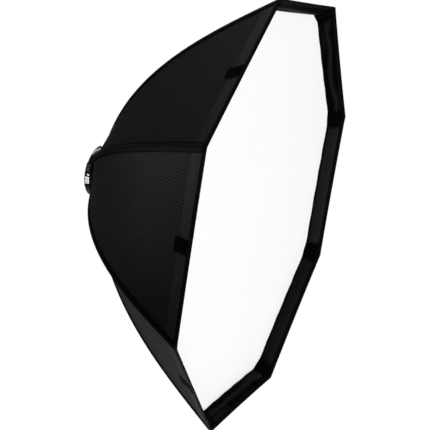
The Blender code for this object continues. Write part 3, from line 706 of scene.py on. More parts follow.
@dataclass
class ClothShell:
    """Eight panels with a doubled front hem, and the sleeves over their seams."""

    form: ShellForm
    finish: Finishes
    cloth: float = 1.0 * MM
    # Doubled hem at the front, its stitched groove and the step where it ends.
    hem_depth: float = 35 * MM
    hem_lift: float = 0.5 * MM
    groove: float = 0.35 * MM
    groove_half: float = 0.5 * MM
    fold_place: float = 0.6 * MM
    fold_half: float = 0.7 * MM
    # Rows of the cloth behind the front edge, and on both sides of the hem's end.
    hem_rows_mm: tuple[float, ...] = (0, 4, 8, 13, 18, 23, 28, 31)
    fold_rows_mm: tuple[float, ...] = (-2.4, -1.8, -1.2, -0.6, 0.0, 0.6, 1.2, 2.4, 4.5, 8.0)
    rest_start: float = 16 * MM
    rest_rows: int = 56
    columns: int = 33
    seam_space: float = 0.5 * MM
    lining_start: float = 8 * MM
    stitch_setback: float = 1.2 * MM
    stitch_reach: float = 0.985
    stitch_lift: float = 0.1 * MM
    # Sleeves over the seams. Places, seam, groove and ridge are shares of the half width.
    sleeve_half: float = 10 * MM
    # Beyond this the sleeve's bound edges are webbing: real binding, made black also as painted shadow of
    # the sleeve.
    sleeve_bound: float = 6.4 * MM
    sleeve_rise: float = 1.3 * MM
    sleeve_places: tuple[float, ...] = (0.16, 0.3, 0.45, 0.62, 0.74, 0.79, 0.83, 0.87, 0.93, 1)
    sleeve_rear: float = 13 * MM
    sleeve_front: float = 5.5 * MM
    sleeve_raised: float = 0.8
    sleeve_seam: float = 0.83
    sleeve_groove: float = 0.4 * MM
    sleeve_groove_half: float = 0.05
    sleeve_cloth: float = 0.4 * MM
    sleeve_outside: float = 1.2 * MM
    sleeve_inside: float = 0.55 * MM
    sleeve_stitch: float = 4 * MM
    sleeve_stitch_lift: float = 0.75 * MM
    ridge_share: float = 0.35

    def build(self) -> None:
        """Build every panel and sleeve with its stitching."""
        for number in range(SIDES):
            self._panel(number)
        for number in range(SIDES):
            self._sleeve(number)

    def _rows(self) -> Grid:
        """Set the rows of the cloth, close together at the hem's stitching.

        Returns:
            Distances from the front edge.
        """
        hem = np.array(self.hem_rows_mm) * MM
        painted_sheen = self.hem_depth + np.array(self.fold_rows_mm) * MM
        rest = np.linspace(self.hem_depth + self.rest_start, self.form.length - self.form.hem_bow,
                           self.rest_rows)
        return np.concatenate([hem, painted_sheen, rest])

    def _hem(self, distance: Grid) -> Grid:
        """Raise the doubled hem over the single cloth, with its stitched groove.

        Args:
            distance: distances from the front edge.

        Returns:
            Heights.
        """
        step = 0.5 - 0.5 * np.tanh((distance - self.hem_depth - self.fold_place) / self.fold_half)
        dip = np.exp(-((distance - self.hem_depth + self.stitch_setback) / self.groove_half) ** 2)
        return self.hem_lift * step - self.groove * dip

    def _panel(self, number: int) -> None:
        """Build one panel: nylon outside, silver behind the lip, its front hem turned over and stitched.

        Args:
            number: panel, counted from the top.
        """
        form, middle = self.form, panel_angle(number)
        rows = self._rows()
        across = np.linspace(-1, 1, self.columns)[None, :] * np.ones((len(rows), 1))
        share = np.clip(form.front_share(across, rows[:, None]), 0.0, 1.0)
        half = form.seam(share)[0] * math.sin(HALF_SIDE)
        across = across * (1 - self.seam_space / half)
        outside, normal = form.skin(middle, across, share)
        outer = outside + normal * self._hem(rows)[:, None, None]
        materials = (self.finish.nylon, self.finish.hem, self.finish.lining)
        hem_rows = int((rows < self.hem_depth).sum())
        lip_rows = int((rows < form.lip_run + self.lining_start).sum())

        def cloth_of(row: int, _: int, front: bool) -> int:
            """Slot of a face: nylon or hem outside, nylon or lining inside."""
            return int(row < hem_rows) if front else 2 * int(row >= lip_rows)

        panel = thick_sheet(f"side_panel_{number + 1}", outer, outside - normal * self.cloth,
                            pair(across * half, rows[:, None]), materials, cloth_of)
        settle(panel, Body.SOFTBOX, Slot.CLOTH, f"panel_{number + 1}")
        line = np.linspace(-self.stitch_reach, self.stitch_reach, 120)
        spots, up = form.skin(middle, line, form.front_share(line, self.hem_depth - self.stitch_setback))
        seam = stitches(f"hem_stitching_{number + 1}", spots + up * self.stitch_lift, up,
                        self.finish.thread)
        settle(seam, Body.SOFTBOX, Slot.CLOTH)
        shares = np.linspace(0, 1, 200)
        area = float(np.mean(2 * form.seam(shares)[0]) * math.sin(HALF_SIDE) * form.length)
        form.length

    def _sleeve(self, number: int) -> None:
        """Build one sleeve: a flat tape folded over the seam and raised over the rod.

        Args:
            number: seam, the one clockwise of its panel.
        """
        form, half = self.form, self.sleeve_half
        near = np.array(self.sleeve_places)
        places = np.concatenate([-near[::-1], [0.0], near]) * half
        shares = np.linspace(self.sleeve_rear / form.length, 1 - self.sleeve_front / form.length, 70)
        rise = self.sleeve_rise * np.clip(1 - (places / (self.sleeve_raised * half)) ** 2, 0, 1) ** 0.7
        off_seam = (np.abs(places) - self.sleeve_seam * half) / (self.sleeve_groove_half * half)
        rise = rise - self.sleeve_groove * np.exp(-off_seam ** 2)
        base, normal = self._over_seam(number, places, shares)
        under = np.maximum(rise - self.sleeve_cloth, 0.0)
        outer = base + normal * (rise + self.sleeve_outside)[None, :, None]
        inner = base + normal * (under + self.sleeve_inside)[None, :, None]

        def cloth_of(_: int, column: int, __: bool) -> int:
            """Slot of a face: nylon over the rod, webbing along the bound edges, whose black also paints
            the sleeve's shadow beside it.
            """
            return int(abs(places[column:column + 2].mean()) > self.sleeve_bound)

        sleeve = thick_sheet(f"seam_sleeve_{number + 1}", outer, inner,
                             pair(places[None, :], (shares * form.length)[:, None]),
                             (self.finish.sleeve, self.finish.webbing), cloth_of)
        settle(sleeve, Body.SOFTBOX, Slot.CLOTH, f"rod_sleeve_{number + 1}")
        for side, label in ((-1, "a"), (1, "b")):
            line = np.linspace(shares[0], shares[-1], 160)
            spots, up = self._over_seam(number, np.array((side * self.sleeve_seam * half,)), line)
            row = stitches(f"sleeve_stitching_{number + 1}{label}",
                           spots[:, 0] + up[:, 0] * self.sleeve_stitch_lift, up[:, 0], self.finish.thread,
                           self.sleeve_stitch)
            settle(row, Body.SOFTBOX, Slot.CLOTH)
        (shares[-1] - shares[0]) * form.length

    def _over_seam(self, number: int, places: Grid, shares: Grid) -> tuple[Grid, Grid]:
        """Find places on the cloth on both sides of a seam, with normals that turn over at it.

        Args:
            number: seam, the one clockwise of its panel.
            places: signed distances from the seam.
            shares: 0 at the rear, 1 at the front.

        Returns:
            Points and unit normals in rows and columns.
        """
        form = self.form
        points = np.zeros((len(shares), len(places), 3))
        normals = np.zeros_like(points)
        for column, place in enumerate(places):
            side = -1 if place < 0 else 1
            across = side * form.from_seam(shares, abs(place))
            middle, beyond = panel_angle(number), panel_angle(number + 1)
            if side > 0:
                middle, beyond = beyond, middle
            points[:, column] = form.surface(middle, across, shares)
            mix = 0.5 * max(0.0, 1 - abs(place) / (self.ridge_share * self.sleeve_half))
            here = form.normal(middle, across, shares) * (1 - mix)
            blend = here + form.normal(beyond, -across, shares) * mix
            normals[:, column] = blend / np.linalg.norm(blend, axis=-1, keepdims=True)
        return points, normals


@dataclass
class FrontLip:
    """Binding round the front edge, tabs outside, satin facing, border tape and corner patches inside."""

    form: ShellForm
    finish: Finishes
    binding_outside: float = 7 * MM
    binding_inside: float = 9 * MM
    binding_steps: int = 26
    # Tabs outside.
    tab_width: float = 26 * MM
    tab_length: float = 34 * MM
    tab_space: float = 7.5 * MM
    tab_lift: float = 0.8 * MM
    tab_cloth: float = 1.1 * MM
    tab_loose: float = 2.2 * MM
    # Hook tape along the back of the lip. Its rows are shares of its width.
    tape_width: float = 20.5 * MM
    tape_rows: tuple[float, ...] = (1, 0.98, 0.85, 0.65, 0.4, 0.2, 0.04, 0)
    tape_outside: float = 1.3 * MM
    tape_inside: float = 2.1 * MM
    tape_crown: float = 0.5 * MM
    tape_end_space: float = 2 * MM
    lip_end: float = 0.5 * MM
    # Satin facing: pinned at the corners, raised over the tape, puffed, creased and gathered.
    facing_depth: float = 37 * MM
    facing_root: tuple[float, ...] = (2 * MM, 6 * MM)
    facing_start: float = 9 * MM
    facing_end_space: float = 5 * MM
    facing_cloth: float = 0.6 * MM
    facing_lift: float = 1.3 * MM
    facing_least: float = 1.2 * MM
    over_tape: float = 1.6 * MM
    over_tape_start: float = 15 * MM
    over_tape_run: float = 5 * MM
    over_tape_end: float = 4 * MM
    pinned_run: float = 12 * MM
    puff: float = 2.8 * MM
    crease: float = 3.0 * MM
    creases_per_metre: tuple[float, float, float] = (8, 24, 60)
    crease_seed: float = 7.3
    gather: float = 0.9 * MM
    gather_pitch: float = 6.5 * MM
    gather_run: float = 16 * MM
    # Corner patches over the rods' tips.
    patch_leg: float = 20 * MM
    patch_start: float = 7 * MM
    patch_lift: float = 3.2 * MM
    patch_cloth: float = 1.2 * MM
    patch_turn: float = 1 * MM
    pocket_leg: float = 18.5 * MM
    # Painted sheen of the facing: its strength on each side, counted from the top, the sides painted pale
    # all over, and the painted streak along the other sides.
    evenly_sheened_sides: tuple[int, ...] = (2, 3)
    shine: tuple[float, ...] = (0.3, 0.9, 1.0, 0.6, 0.9, 0.7, 0.7, 0.7)
    streak_half: float = 4.5 * MM
    streak_wander: float = 10 * MM
    streak_setback: float = 3 * MM
    streaks_per_metre: float = 14
    streak_seeds: tuple[float, float] = (5.1, 2.3)

    def build(self) -> None:
        """Build every piece of the lip."""
        self._binding()
        for number in range(SIDES):
            self._tab(number)
            self._tape(number)
            self._facing(number)
            self._patch(number)

    def _binding(self) -> None:
        """Fold one tape round the whole front edge."""
        form, per_side = self.form, self.binding_steps
        rear, back = -self.binding_outside, -self.binding_inside
        # Section of the tape: forward of the cloth's edge in metres, out of the cloth in millimetres.
        outline = ((rear, 0.75), (rear, 1.35), (-4 * MM, 1.5), (-1 * MM, 1.45), (0.4 * MM, 1.0),
                   (0.9 * MM, 0.0), (0.9 * MM, -1.2), (0.4 * MM, -2.2), (-1 * MM, -2.75), (-4 * MM, -2.8),
                   (back, -2.7), (back, -2.1), (-2 * MM, -2.0), (-0.3 * MM, -1.4), (-0.1 * MM, -0.2),
                   (-0.3 * MM, 0.6), (-2 * MM, 0.8))
        points, uvs = [], []
        run = 0.0
        for number in range(SIDES):
            middle = panel_angle(number)
            for value in np.linspace(1, -1, per_side, endpoint=False):
                share = form.front_share(value)
                base = form.surface(middle, value, share)
                normal = form.normal(middle, np.clip(value, -0.99, 0.99), share)
                way = base - form.surface(middle, value, share - 0.01)
                way /= np.linalg.norm(way)
                if value == 1:
                    before = form.normal(panel_angle(number - 1), -0.99, share)
                    normal = (normal + before) / np.linalg.norm(normal + before) / math.cos(HALF_SIDE)
                points += [base + way * place + normal * height * MM for place, height in outline]
                uvs += [(run, place) for place, _ in outline]
                run += 2 * form.half_width / per_side
        faces = ring_faces(SIDES * per_side, len(outline))
        binding = new_mesh("front_binding", points, faces, (self.finish.binding,), uvs=uvs)
        settle(binding, Body.SOFTBOX, Slot.WEBBING)

    def _tab(self, number: int) -> None:
        """Lay one webbing tab on the middle of a front edge, its rear end a little loose.

        Args:
            number: panel, counted from the top.
        """
        form, middle = self.form, panel_angle(number)
        rows = np.linspace(self.tab_space, self.tab_space + self.tab_length, 18)
        columns = np.linspace(-0.5, 0.5, 11) * self.tab_width
        across = np.repeat((columns / form.half_width)[None, :], len(rows), 0)
        share = form.front_share(across, rows[:, None])
        loose = np.linspace(0, 1, len(rows)) ** 3 * self.tab_loose
        base, normal = form.skin(middle, across, share)
        lift = (self.tab_lift + loose)[:, None, None]
        tab = thick_sheet(f"webbing_tab_{number + 1}", base + normal * (lift + self.tab_cloth),
                          base + normal * lift, pair(columns[None, :], rows[:, None]),
                          (self.finish.webbing,))
        settle(tab, Body.SOFTBOX, Slot.WEBBING, f"edge_tab_{number + 1}")

    def _tape(self, number: int) -> None:
        """Lay the hook tape that holds one side of the front cloth along the back of the lip.

        Args:
            number: panel, counted from the top.
        """
        form, middle = self.form, panel_angle(number)
        reach = 1 - (self.pocket_leg + self.tape_end_space) / form.half_width
        rows = form.lip_run - self.lip_end - np.array(self.tape_rows) * self.tape_width
        across = np.repeat(np.linspace(-reach, reach, 60)[None, :], len(rows), 0)
        share = 1 - rows[:, None] / form.length + 0 * across
        base, normal = form.skin(middle, across, share)
        swell = np.sin(math.pi * np.linspace(0, 1, len(rows))) * self.tape_crown
        tape = thick_sheet(f"border_tape_{number + 1}",
                           base - normal * (self.tape_inside + swell)[:, None, None],
                           base - normal * self.tape_outside, pair(across * form.half_width, rows[:, None]),
                           (self.finish.tape,))
        settle(tape, Body.SOFTBOX, Slot.TAPE, f"hook_strip_{number + 1}")

    def _facing(self, number: int) -> None:
        """Lay the satin facing inside the lip: puffed, creased, and gathered beside the corner patches.

        Args:
            number: panel, counted from the top.
        """
        form, middle = self.form, panel_angle(number)
        rows = np.concatenate([self.facing_root, np.linspace(self.facing_start, self.facing_depth, 18)])
        reach = 1 - self.facing_end_space / form.half_width
        across = np.repeat(np.linspace(-reach, reach, 141)[None, :], len(rows), 0)
        share = 1 - rows[:, None] / form.length + 0 * across
        base, normal = form.skin(middle, across, share)
        side = across * form.half_width
        part = np.clip((rows - self.facing_start) / (self.facing_depth - self.facing_start), 0, 1)[:, None]
        free = form.half_width - np.abs(side) - self.patch_leg
        open_share = np.clip(free / self.pinned_run, 0, 1)
        ramp = np.clip((rows - self.over_tape_start) / self.over_tape_run, 0, 1)[:, None]
        lift = self.facing_lift + self.over_tape * ramp * np.clip(free / self.over_tape_end, 0.2, 1)
        bulge = np.sin(math.pi * part)
        lift = lift + self.puff * bulge ** 0.7 * (0.3 + 0.7 * open_share)
        length, slant, width = self.creases_per_metre
        seed = number * self.crease_seed
        creases = np.vectorize(lambda u, v: noise.noise(Vector((u * length + v * slant, v * width, seed))))(
            side, rows[:, None] + 0 * side)
        lift = lift + self.crease * creases * bulge * open_share
        # Painted highlight on the satin: crease ridges and each side's painted sheen are kept in a point
        # attribute that makes the colour paler.
        crest_sheen = np.clip((creases + 0.02) / 0.4, 0, 1) ** 1.3 * np.sqrt(bulge) * open_share
        painted_sheen_share = np.maximum(crest_sheen, self._sheen(number, side, rows) * open_share) * self.shine[number]
        folds = np.sin(2 * math.pi * rows[:, None] / self.gather_pitch + number)
        lift = lift + self.gather * folds * bulge * np.exp(-np.abs(free) / self.gather_run)
        lift = np.maximum(lift, self.facing_least)[..., None]
        facing = thick_sheet(f"lip_facing_{number + 1}", base - normal * (lift + self.facing_cloth),
                             base - normal * lift, pair(side, rows[:, None]), (self.finish.satin,))
        painted_sheen = facing.data.attributes.new("painted_sheen", "FLOAT", "POINT")
        painted_sheen.data.foreach_set("value", np.tile(painted_sheen_share.ravel(), 2).astype(np.float32))
        settle(facing, Body.SOFTBOX, Slot.CLOTH)

    def _sheen(self, number: int, side: Grid, rows: Grid) -> Grid:
        """Painted sheen of one side's facing: all over on the evenly sheened sides, along one streak on the
        others.

        Args:
            number: side of the lip.
            side: distances from the middle of the side.
            rows: distances behind the front edge.

        Returns:
            Shares from 0 to 1 in rows and columns.
        """
        if number in self.evenly_sheened_sides:
            return np.ones_like(side)
        turn, seed = number * self.streak_seeds[0], self.streak_seeds[1]
        wander = np.vectorize(lambda u: noise.noise(Vector((u * self.streaks_per_metre, turn, seed))))(side)
        middle = (rows[0] + self.facing_depth) / 2 + self.streak_setback + self.streak_wander * wander
        return np.exp(-((rows[:, None] - middle) / self.streak_half) ** 2)

    def _patch(self, number: int) -> None:
        """Fold one webbing patch across a corner, over the rod's tip.

        Args:
            number: seam, the one clockwise of its panel.
        """
        form = self.form
        rows = np.linspace(self.patch_start, form.lip_run - self.lip_end, 14)
        legs = np.linspace(self.patch_leg, self.pocket_leg - self.patch_turn, 4)
        lines = []
        for share in 1 - rows / form.length:
            sides = []
            for turn, sign in ((number, -1), (number + 1, 1)):
                across = sign * form.from_seam(share, legs)
                place = np.full_like(across, share)
                base, up = form.skin(panel_angle(turn), across, place)
                sides.append(base - up * self.patch_lift)
            bridge = np.linspace(sides[0][-1], sides[1][-1], 9)[1:-1]
            lines.append(np.concatenate([sides[0], bridge, sides[1][::-1]]))
        outer = np.array(lines)
        axis = outer * (0.0, 1.0, 0.0)
        inward = (axis - outer) / np.linalg.norm(axis - outer, axis=-1, keepdims=True)
        run = along(outer[0])
        patch = thick_sheet(f"corner_patch_{number + 1}", outer + inward * self.patch_cloth, outer,
                            pair(run[None, :], rows[:, None]), (self.finish.webbing,))
        settle(patch, Body.SOFTBOX, Slot.WEBBING, f"corner_pocket_{number + 1}")


@dataclass
class Diffusers:
    """White cloth across the front and, inside, across the middle."""

    form: ShellForm
    finish: Finishes
    cloth: float = 0.7 * MM
    # Pull marks at the edge of the cloth.
    pulls_per_side: int = 5
    pull_start: float = 0.6
    front_dish: float = 4 * MM
    front_ripple: float = 0.35 * MM
    front_step: float = 16 * MM
    inner_radius: float = 205 * MM
    inner_dish: float = 2 * MM
    inner_ripple: float = 0.5 * MM
    inner_steps: int = 12
    # Straps of the inner cloth, and how far inside the seams the rods run.
    strap_half: float = 7 * MM
    strap_cloth: float = 0.8 * MM
    strap_overlap: float = 12 * MM
    strap_end: float = 8 * MM
    loop_radius: float = 3.2 * MM
    root_inset: float = 7.6 * MM
    tip_inset: float = 5 * MM

    def build(self) -> None:
        """Build the front cloth, the inner cloth and its straps."""
        self._front()
        self._inner()

    def _disc(self, name: str, outline: Grid, depth: float, dish: float, ripple: float) -> Object:
        """Fill an outline with rings of cloth.

        Args:
            name: piece name.
            outline: closed loop of (x, z) points.
            depth: forward of the mount's rear face.
            dish: how far the middle falls back.
            ripple: height of the pull marks at the edge.

        Returns:
            The cloth.
        """
        rings = np.concatenate([np.linspace(0.06, 0.9, 15), (0.94, 0.97, 0.99, 1.0)])
        count = len(outline)
        far = np.linalg.norm(outline, axis=1).max()
        spots = (rings[:, None, None] * outline[None]).reshape(-1, 2)
        pulls = np.sin(np.arange(count) * 2 * math.pi * self.pulls_per_side * SIDES / count)
        grown = np.clip((rings - self.pull_start) / (1 - self.pull_start), 0, 1)
        wave = (ripple * grown[:, None] * pulls[None]).ravel()
        spots = np.concatenate([spots, [(0.0, 0.0)]])
        wave = np.append(wave, 0.0)
        y = -depth + dish * (1 - (np.linalg.norm(spots, axis=1) / far) ** 2) + wave
        front = np.stack([spots[:, 0], y, spots[:, 1]], -1)
        back = front + (0.0, self.cloth, 0.0)
        size = len(front)
        middle, edge = size - 1, (len(rings) - 1) * count
        faces = []
        for index in range(count):
            after = (index + 1) % count
            for ring in range(0, edge, count):
                quad = (ring + index, ring + after, ring + count + after, ring + count + index)
                faces += [quad, tuple(size + i for i in reversed(quad))]
            faces += [(middle, after, index), (size + middle, size + index, size + after),
                      (edge + index, edge + after, size + edge + after, size + edge + index)]
        return new_mesh(name, np.concatenate([front, back]), faces, (self.finish.white,),
                        uvs=np.concatenate([spots, spots]))

    def _front(self) -> None:
        """Build the front cloth inside the lip, its corners cut across for the rods."""
        low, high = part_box("front_diffuser")
        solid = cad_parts["front_diffuser"].data
        spots = {(round(v.co.x, 5), round(v.co.z, 5)) for v in solid.vertices if abs(v.co.y - low.y) < NEAR}
        corners = sorted(spots, key=lambda spot: math.atan2(spot[1], spot[0]))
        outline = []
        for here, after in zip(corners, corners[1:] + corners[:1]):
            steps = max(2, round(math.dist(here, after) / self.front_step))
            way = np.array(after) - np.array(here)
            outline += [np.array(here) + way * step / steps for step in range(steps)]
        cloth = self._disc("front_diffusion_cloth", np.array(outline), -low.y, self.front_dish,
                           self.front_ripple)
        settle(cloth, Body.SOFTBOX, Slot.DIFFUSION, "front_diffuser")

    def _inner(self) -> None:
        """Build the inner cloth and the straps that loop round the rods."""
        low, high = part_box("inner_diffuser")
        depth = -(low.y + high.y) / 2
        outline = []
        for number in range(SIDES):
            ends = [np.array((math.cos(a), math.sin(a))) * self.inner_radius
                    for a in (seam_angle(number), seam_angle(number + 1))]
            steps = self.inner_steps
            outline += [ends[0] + (ends[1] - ends[0]) * step / steps for step in range(steps)]
        cloth = self._disc("inner_diffusion_cloth", np.array(outline), depth, self.inner_dish,
                           self.inner_ripple)
        settle(cloth, Body.SOFTBOX, Slot.DIFFUSION, "inner_diffuser")
        straps = [self._strap(number, depth) for number in range(SIDES)]

    def _strap(self, number: int, depth: float) -> Object:
        """Build one elastic strap from the inner cloth's corner round its rod.

        Args:
            number: seam, the one clockwise of its panel.
            depth: forward of the mount's rear face.

        Returns:
            The strap.
        """
        angle = seam_angle(number)
        out = np.array((math.cos(angle), 0.0, math.sin(angle)))
        side = np.array((-math.sin(angle), 0.0, math.cos(angle)))
        share = self.form.share_at(depth)
        inset = self.root_inset + (self.tip_inset - self.root_inset) * share
        slope = np.subtract(self.form.seam(share + 0.01), self.form.seam(share - 0.01))
        rod = self.form.seam(share)[0] - inset * np.linalg.norm(slope) / slope[1]
        reach = np.linspace(self.inner_radius - self.strap_overlap, rod - self.strap_end, 10)
        turns = np.linspace(-1.1, 1.1, 12) * math.pi - math.pi / 2
        loop_out = rod + self.loop_radius * np.cos(turns)
        loop_way = self.loop_radius * np.sin(turns)
        path = np.concatenate([out * reach[:, None], out * loop_out[:, None]])
        path[:, 1] = -depth + np.concatenate([0 * reach, loop_way])
        columns = np.linspace(-1, 1, 5) * self.strap_half
        outer = path[:, None, :] + columns[None, :, None] * side
        way = np.gradient(path, axis=0)
        way /= np.linalg.norm(way, axis=1, keepdims=True)
        inner = outer + np.cross(way, side)[:, None, :] * self.strap_cloth
        strap = thick_sheet(f"elastic_strap_{number + 1}", outer, inner,
                            pair(columns[None, :], along(path)[:, None]), (self.finish.webbing,))
        return settle(strap, Body.SOFTBOX, Slot.WEBBING)


@dataclass(frozen=True)
class Turned:
    """Radii and depths of a node that goes round the axis."""

    inside: float
    outside: float
    rear: float
    front: float

    @classmethod
    def of(cls, name: str, hinge: float | None = None) -> "Turned":
        """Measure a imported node.

        Args:
            name: node name.
            hinge: angle of a hinge, whose surroundings are left out.

        Returns:
            The node's radii and depths.
        """
        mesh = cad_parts[name].data
        spots = np.empty(len(mesh.vertices) * 3, dtype=np.float32)
        mesh.vertices.foreach_get("co", spots)
        spots = spots.reshape(-1, 3).astype(float)
        if hinge is not None:
            apart = np.arctan2(spots[:, 2], spots[:, 0]) - hinge
            spots = spots[np.abs((apart + math.pi) % (2 * math.pi) - math.pi) > HINGE_REACH]
        radius = np.hypot(spots[:, 0], spots[:, 2])
        return cls(radius.min(), radius.max(), -spots[:, 1].max(), -spots[:, 1].min())


class Bench:
    """Edit-mode steps that the turned pieces share."""

    @staticmethod
    def claim(name: str, scale: tuple[float, float, float] = (1, 1, 1)) -> Object:
        """Take the shape just added, with its place and scale put into its mesh.

        Args:
            name: piece name.
            scale: its sizes, where it was added at size one.

        Returns:
            The named piece.
        """
        piece = bpy.context.object
        piece.name = name
        piece.scale = scale
        bpy.ops.object.transform_apply(location=True, rotation=True, scale=True)
        return piece

    @staticmethod
    def hold(piece: Object) -> None:
        """Make a piece the only selected one, and the active one.

        Args:
            piece: piece that the next operator works on.
        """
        bpy.ops.object.select_all(action="DESELECT")
        piece.select_set(True)
        bpy.context.view_layer.objects.active = piece

    @staticmethod
    def pick(piece: Object, part: Part, wanted: Callable[[Vector], bool]) -> None:
        """Select, in edit mode, the parts of a mesh whose middles pass a test.

        Args:
            piece: piece in edit mode.
            part: kind of part.
            wanted: test of a middle.
        """
        bpy.ops.mesh.select_mode(type=part.value)
        bpy.ops.mesh.select_all(action="DESELECT")
        mesh = bmesh.from_edit_mesh(piece.data)
        if part is Part.POINT:
            found = [v for v in mesh.verts if wanted(v.co)]
        elif part is Part.EDGE:
            found = [e for e in mesh.edges if wanted((e.verts[0].co + e.verts[1].co) / 2)]
        else:
            found = [f for f in mesh.faces if wanted(f.calc_center_median())]
        for item in found:
            item.select_set(True)
        bmesh.update_edit_mesh(piece.data)

    @staticmethod
    def section(name: str, size: Turned, start: float = 0.0) -> Object:
        """Add the square section of a turned piece beside the axis, and go into edit mode.

        Args:
            name: piece name.
            size: radii and depths of the section.
            start: angle round the axis at which it stands.

        Returns:
            The new piece, in edit mode.
        """
        middle = (size.inside + size.outside) / 2
        place = (middle * math.cos(start), -(size.rear + size.front) / 2, middle * math.sin(start))
        bpy.ops.object.select_all(action="DESELECT")
        bpy.ops.mesh.primitive_plane_add(size=1, location=place, rotation=(0, -start, 0))
        piece = Bench.claim(name, (size.outside - size.inside, size.front - size.rear, 1))
        bpy.ops.object.mode_set(mode="EDIT")
        return piece

    @staticmethod
    def spin(steps: int, span: float = 2 * math.pi) -> None:
        """Spin the section in hand round the axis, close it and leave edit mode.

        Args:
            steps: faces round the span.
            span: angle that it covers, negative for clockwise.
        """
        bpy.ops.mesh.select_mode(type="VERT")
        bpy.ops.mesh.select_all(action="SELECT")
        if abs(span) > 2 * math.pi - 1e-6:
            bpy.ops.mesh.delete(type="ONLY_FACE")
            bpy.ops.mesh.select_all(action="SELECT")
        bpy.ops.mesh.spin(steps=steps, angle=span, center=(0, 0, 0), axis=(0, 1, 0))
        bpy.ops.mesh.select_all(action="SELECT")
        bpy.ops.mesh.remove_doubles(threshold=1e-6)
        bpy.ops.mesh.normals_make_consistent(inside=False)
        bpy.ops.object.mode_set(mode="OBJECT")

    @staticmethod
    def turn(name: str, size: Turned, edge: float, steps: int, start: float = 0.0,
             span: float = 2 * math.pi) -> Object:
        """Turn a section with rounded corners round the axis.

        Args:
            name: piece name.
            size: radii and depths of the section.
            edge: radius of its rounded corners.
            steps: faces round the span.
            start: angle at which it begins.
            span: angle that it covers, negative for clockwise.

        Returns:
            The turned piece.
        """
        piece = Bench.section(name, size, start)
        bpy.ops.mesh.select_all(action="SELECT")
        bpy.ops.mesh.bevel(offset=edge, segments=4, affect="VERTICES")
        Bench.spin(steps, span)
        return piece

    @staticmethod
    def bar(name: str, place: Vector, radius: float, depth: float, sides: int = 40) -> Object:
        """Add a round bar along the axis' direction.

        Args:
            name: piece name.
            place: its middle.
            radius: its radius.
            depth: its length.
            sides: faces round it.

        Returns:
            The bar.
        """
        bpy.ops.object.select_all(action="DESELECT")
        bpy.ops.mesh.primitive_cylinder_add(vertices=sides, radius=radius, depth=depth, location=place,
                                            rotation=(math.pi / 2, 0, 0))
        return Bench.claim(name)

    @staticmethod
    def block(name: str, place: Vector, turn: float, size: tuple[float, float, float]) -> Object:
        """Add a block turned about the axis.

        Args:
            name: piece name.
            place: its middle.
            turn: angle round the axis.
            size: its three sizes.

        Returns:
            The block.
        """
        bpy.ops.object.select_all(action="DESELECT")
        bpy.ops.mesh.primitive_cube_add(size=1, location=place, rotation=(0, -turn, 0))
        return Bench.claim(name, size)

    @staticmethod
    def combine(piece: Object, tool: Object, way: Joining) -> None:
        """Join a tool to a piece, cut it out or keep what they share, and use the tool up.

        Args:
            piece: piece that is changed.
            tool: piece that is used up.
            way: how the tool changes it.
        """
        Bench.hold(piece)
        step = piece.modifiers.new("joining", "BOOLEAN")
        step.operation = way.value
        step.object = tool
        bpy.ops.object.modifier_apply(modifier=step.name)
        bpy.data.objects.remove(tool)

    @staticmethod
    def finish(piece: Object, material: Material, crease: float = math.radians(35)) -> None:
        """Smooth a piece up to its creases and give it its material.

        Args:
            piece: the finished piece.
            material: its material.
            crease: angle from which an edge stays sharp.
        """
        Bench.hold(piece)
        bpy.ops.object.shade_smooth_by_angle(angle=crease)
        piece.data.materials.clear()
        piece.data.materials.append(material)


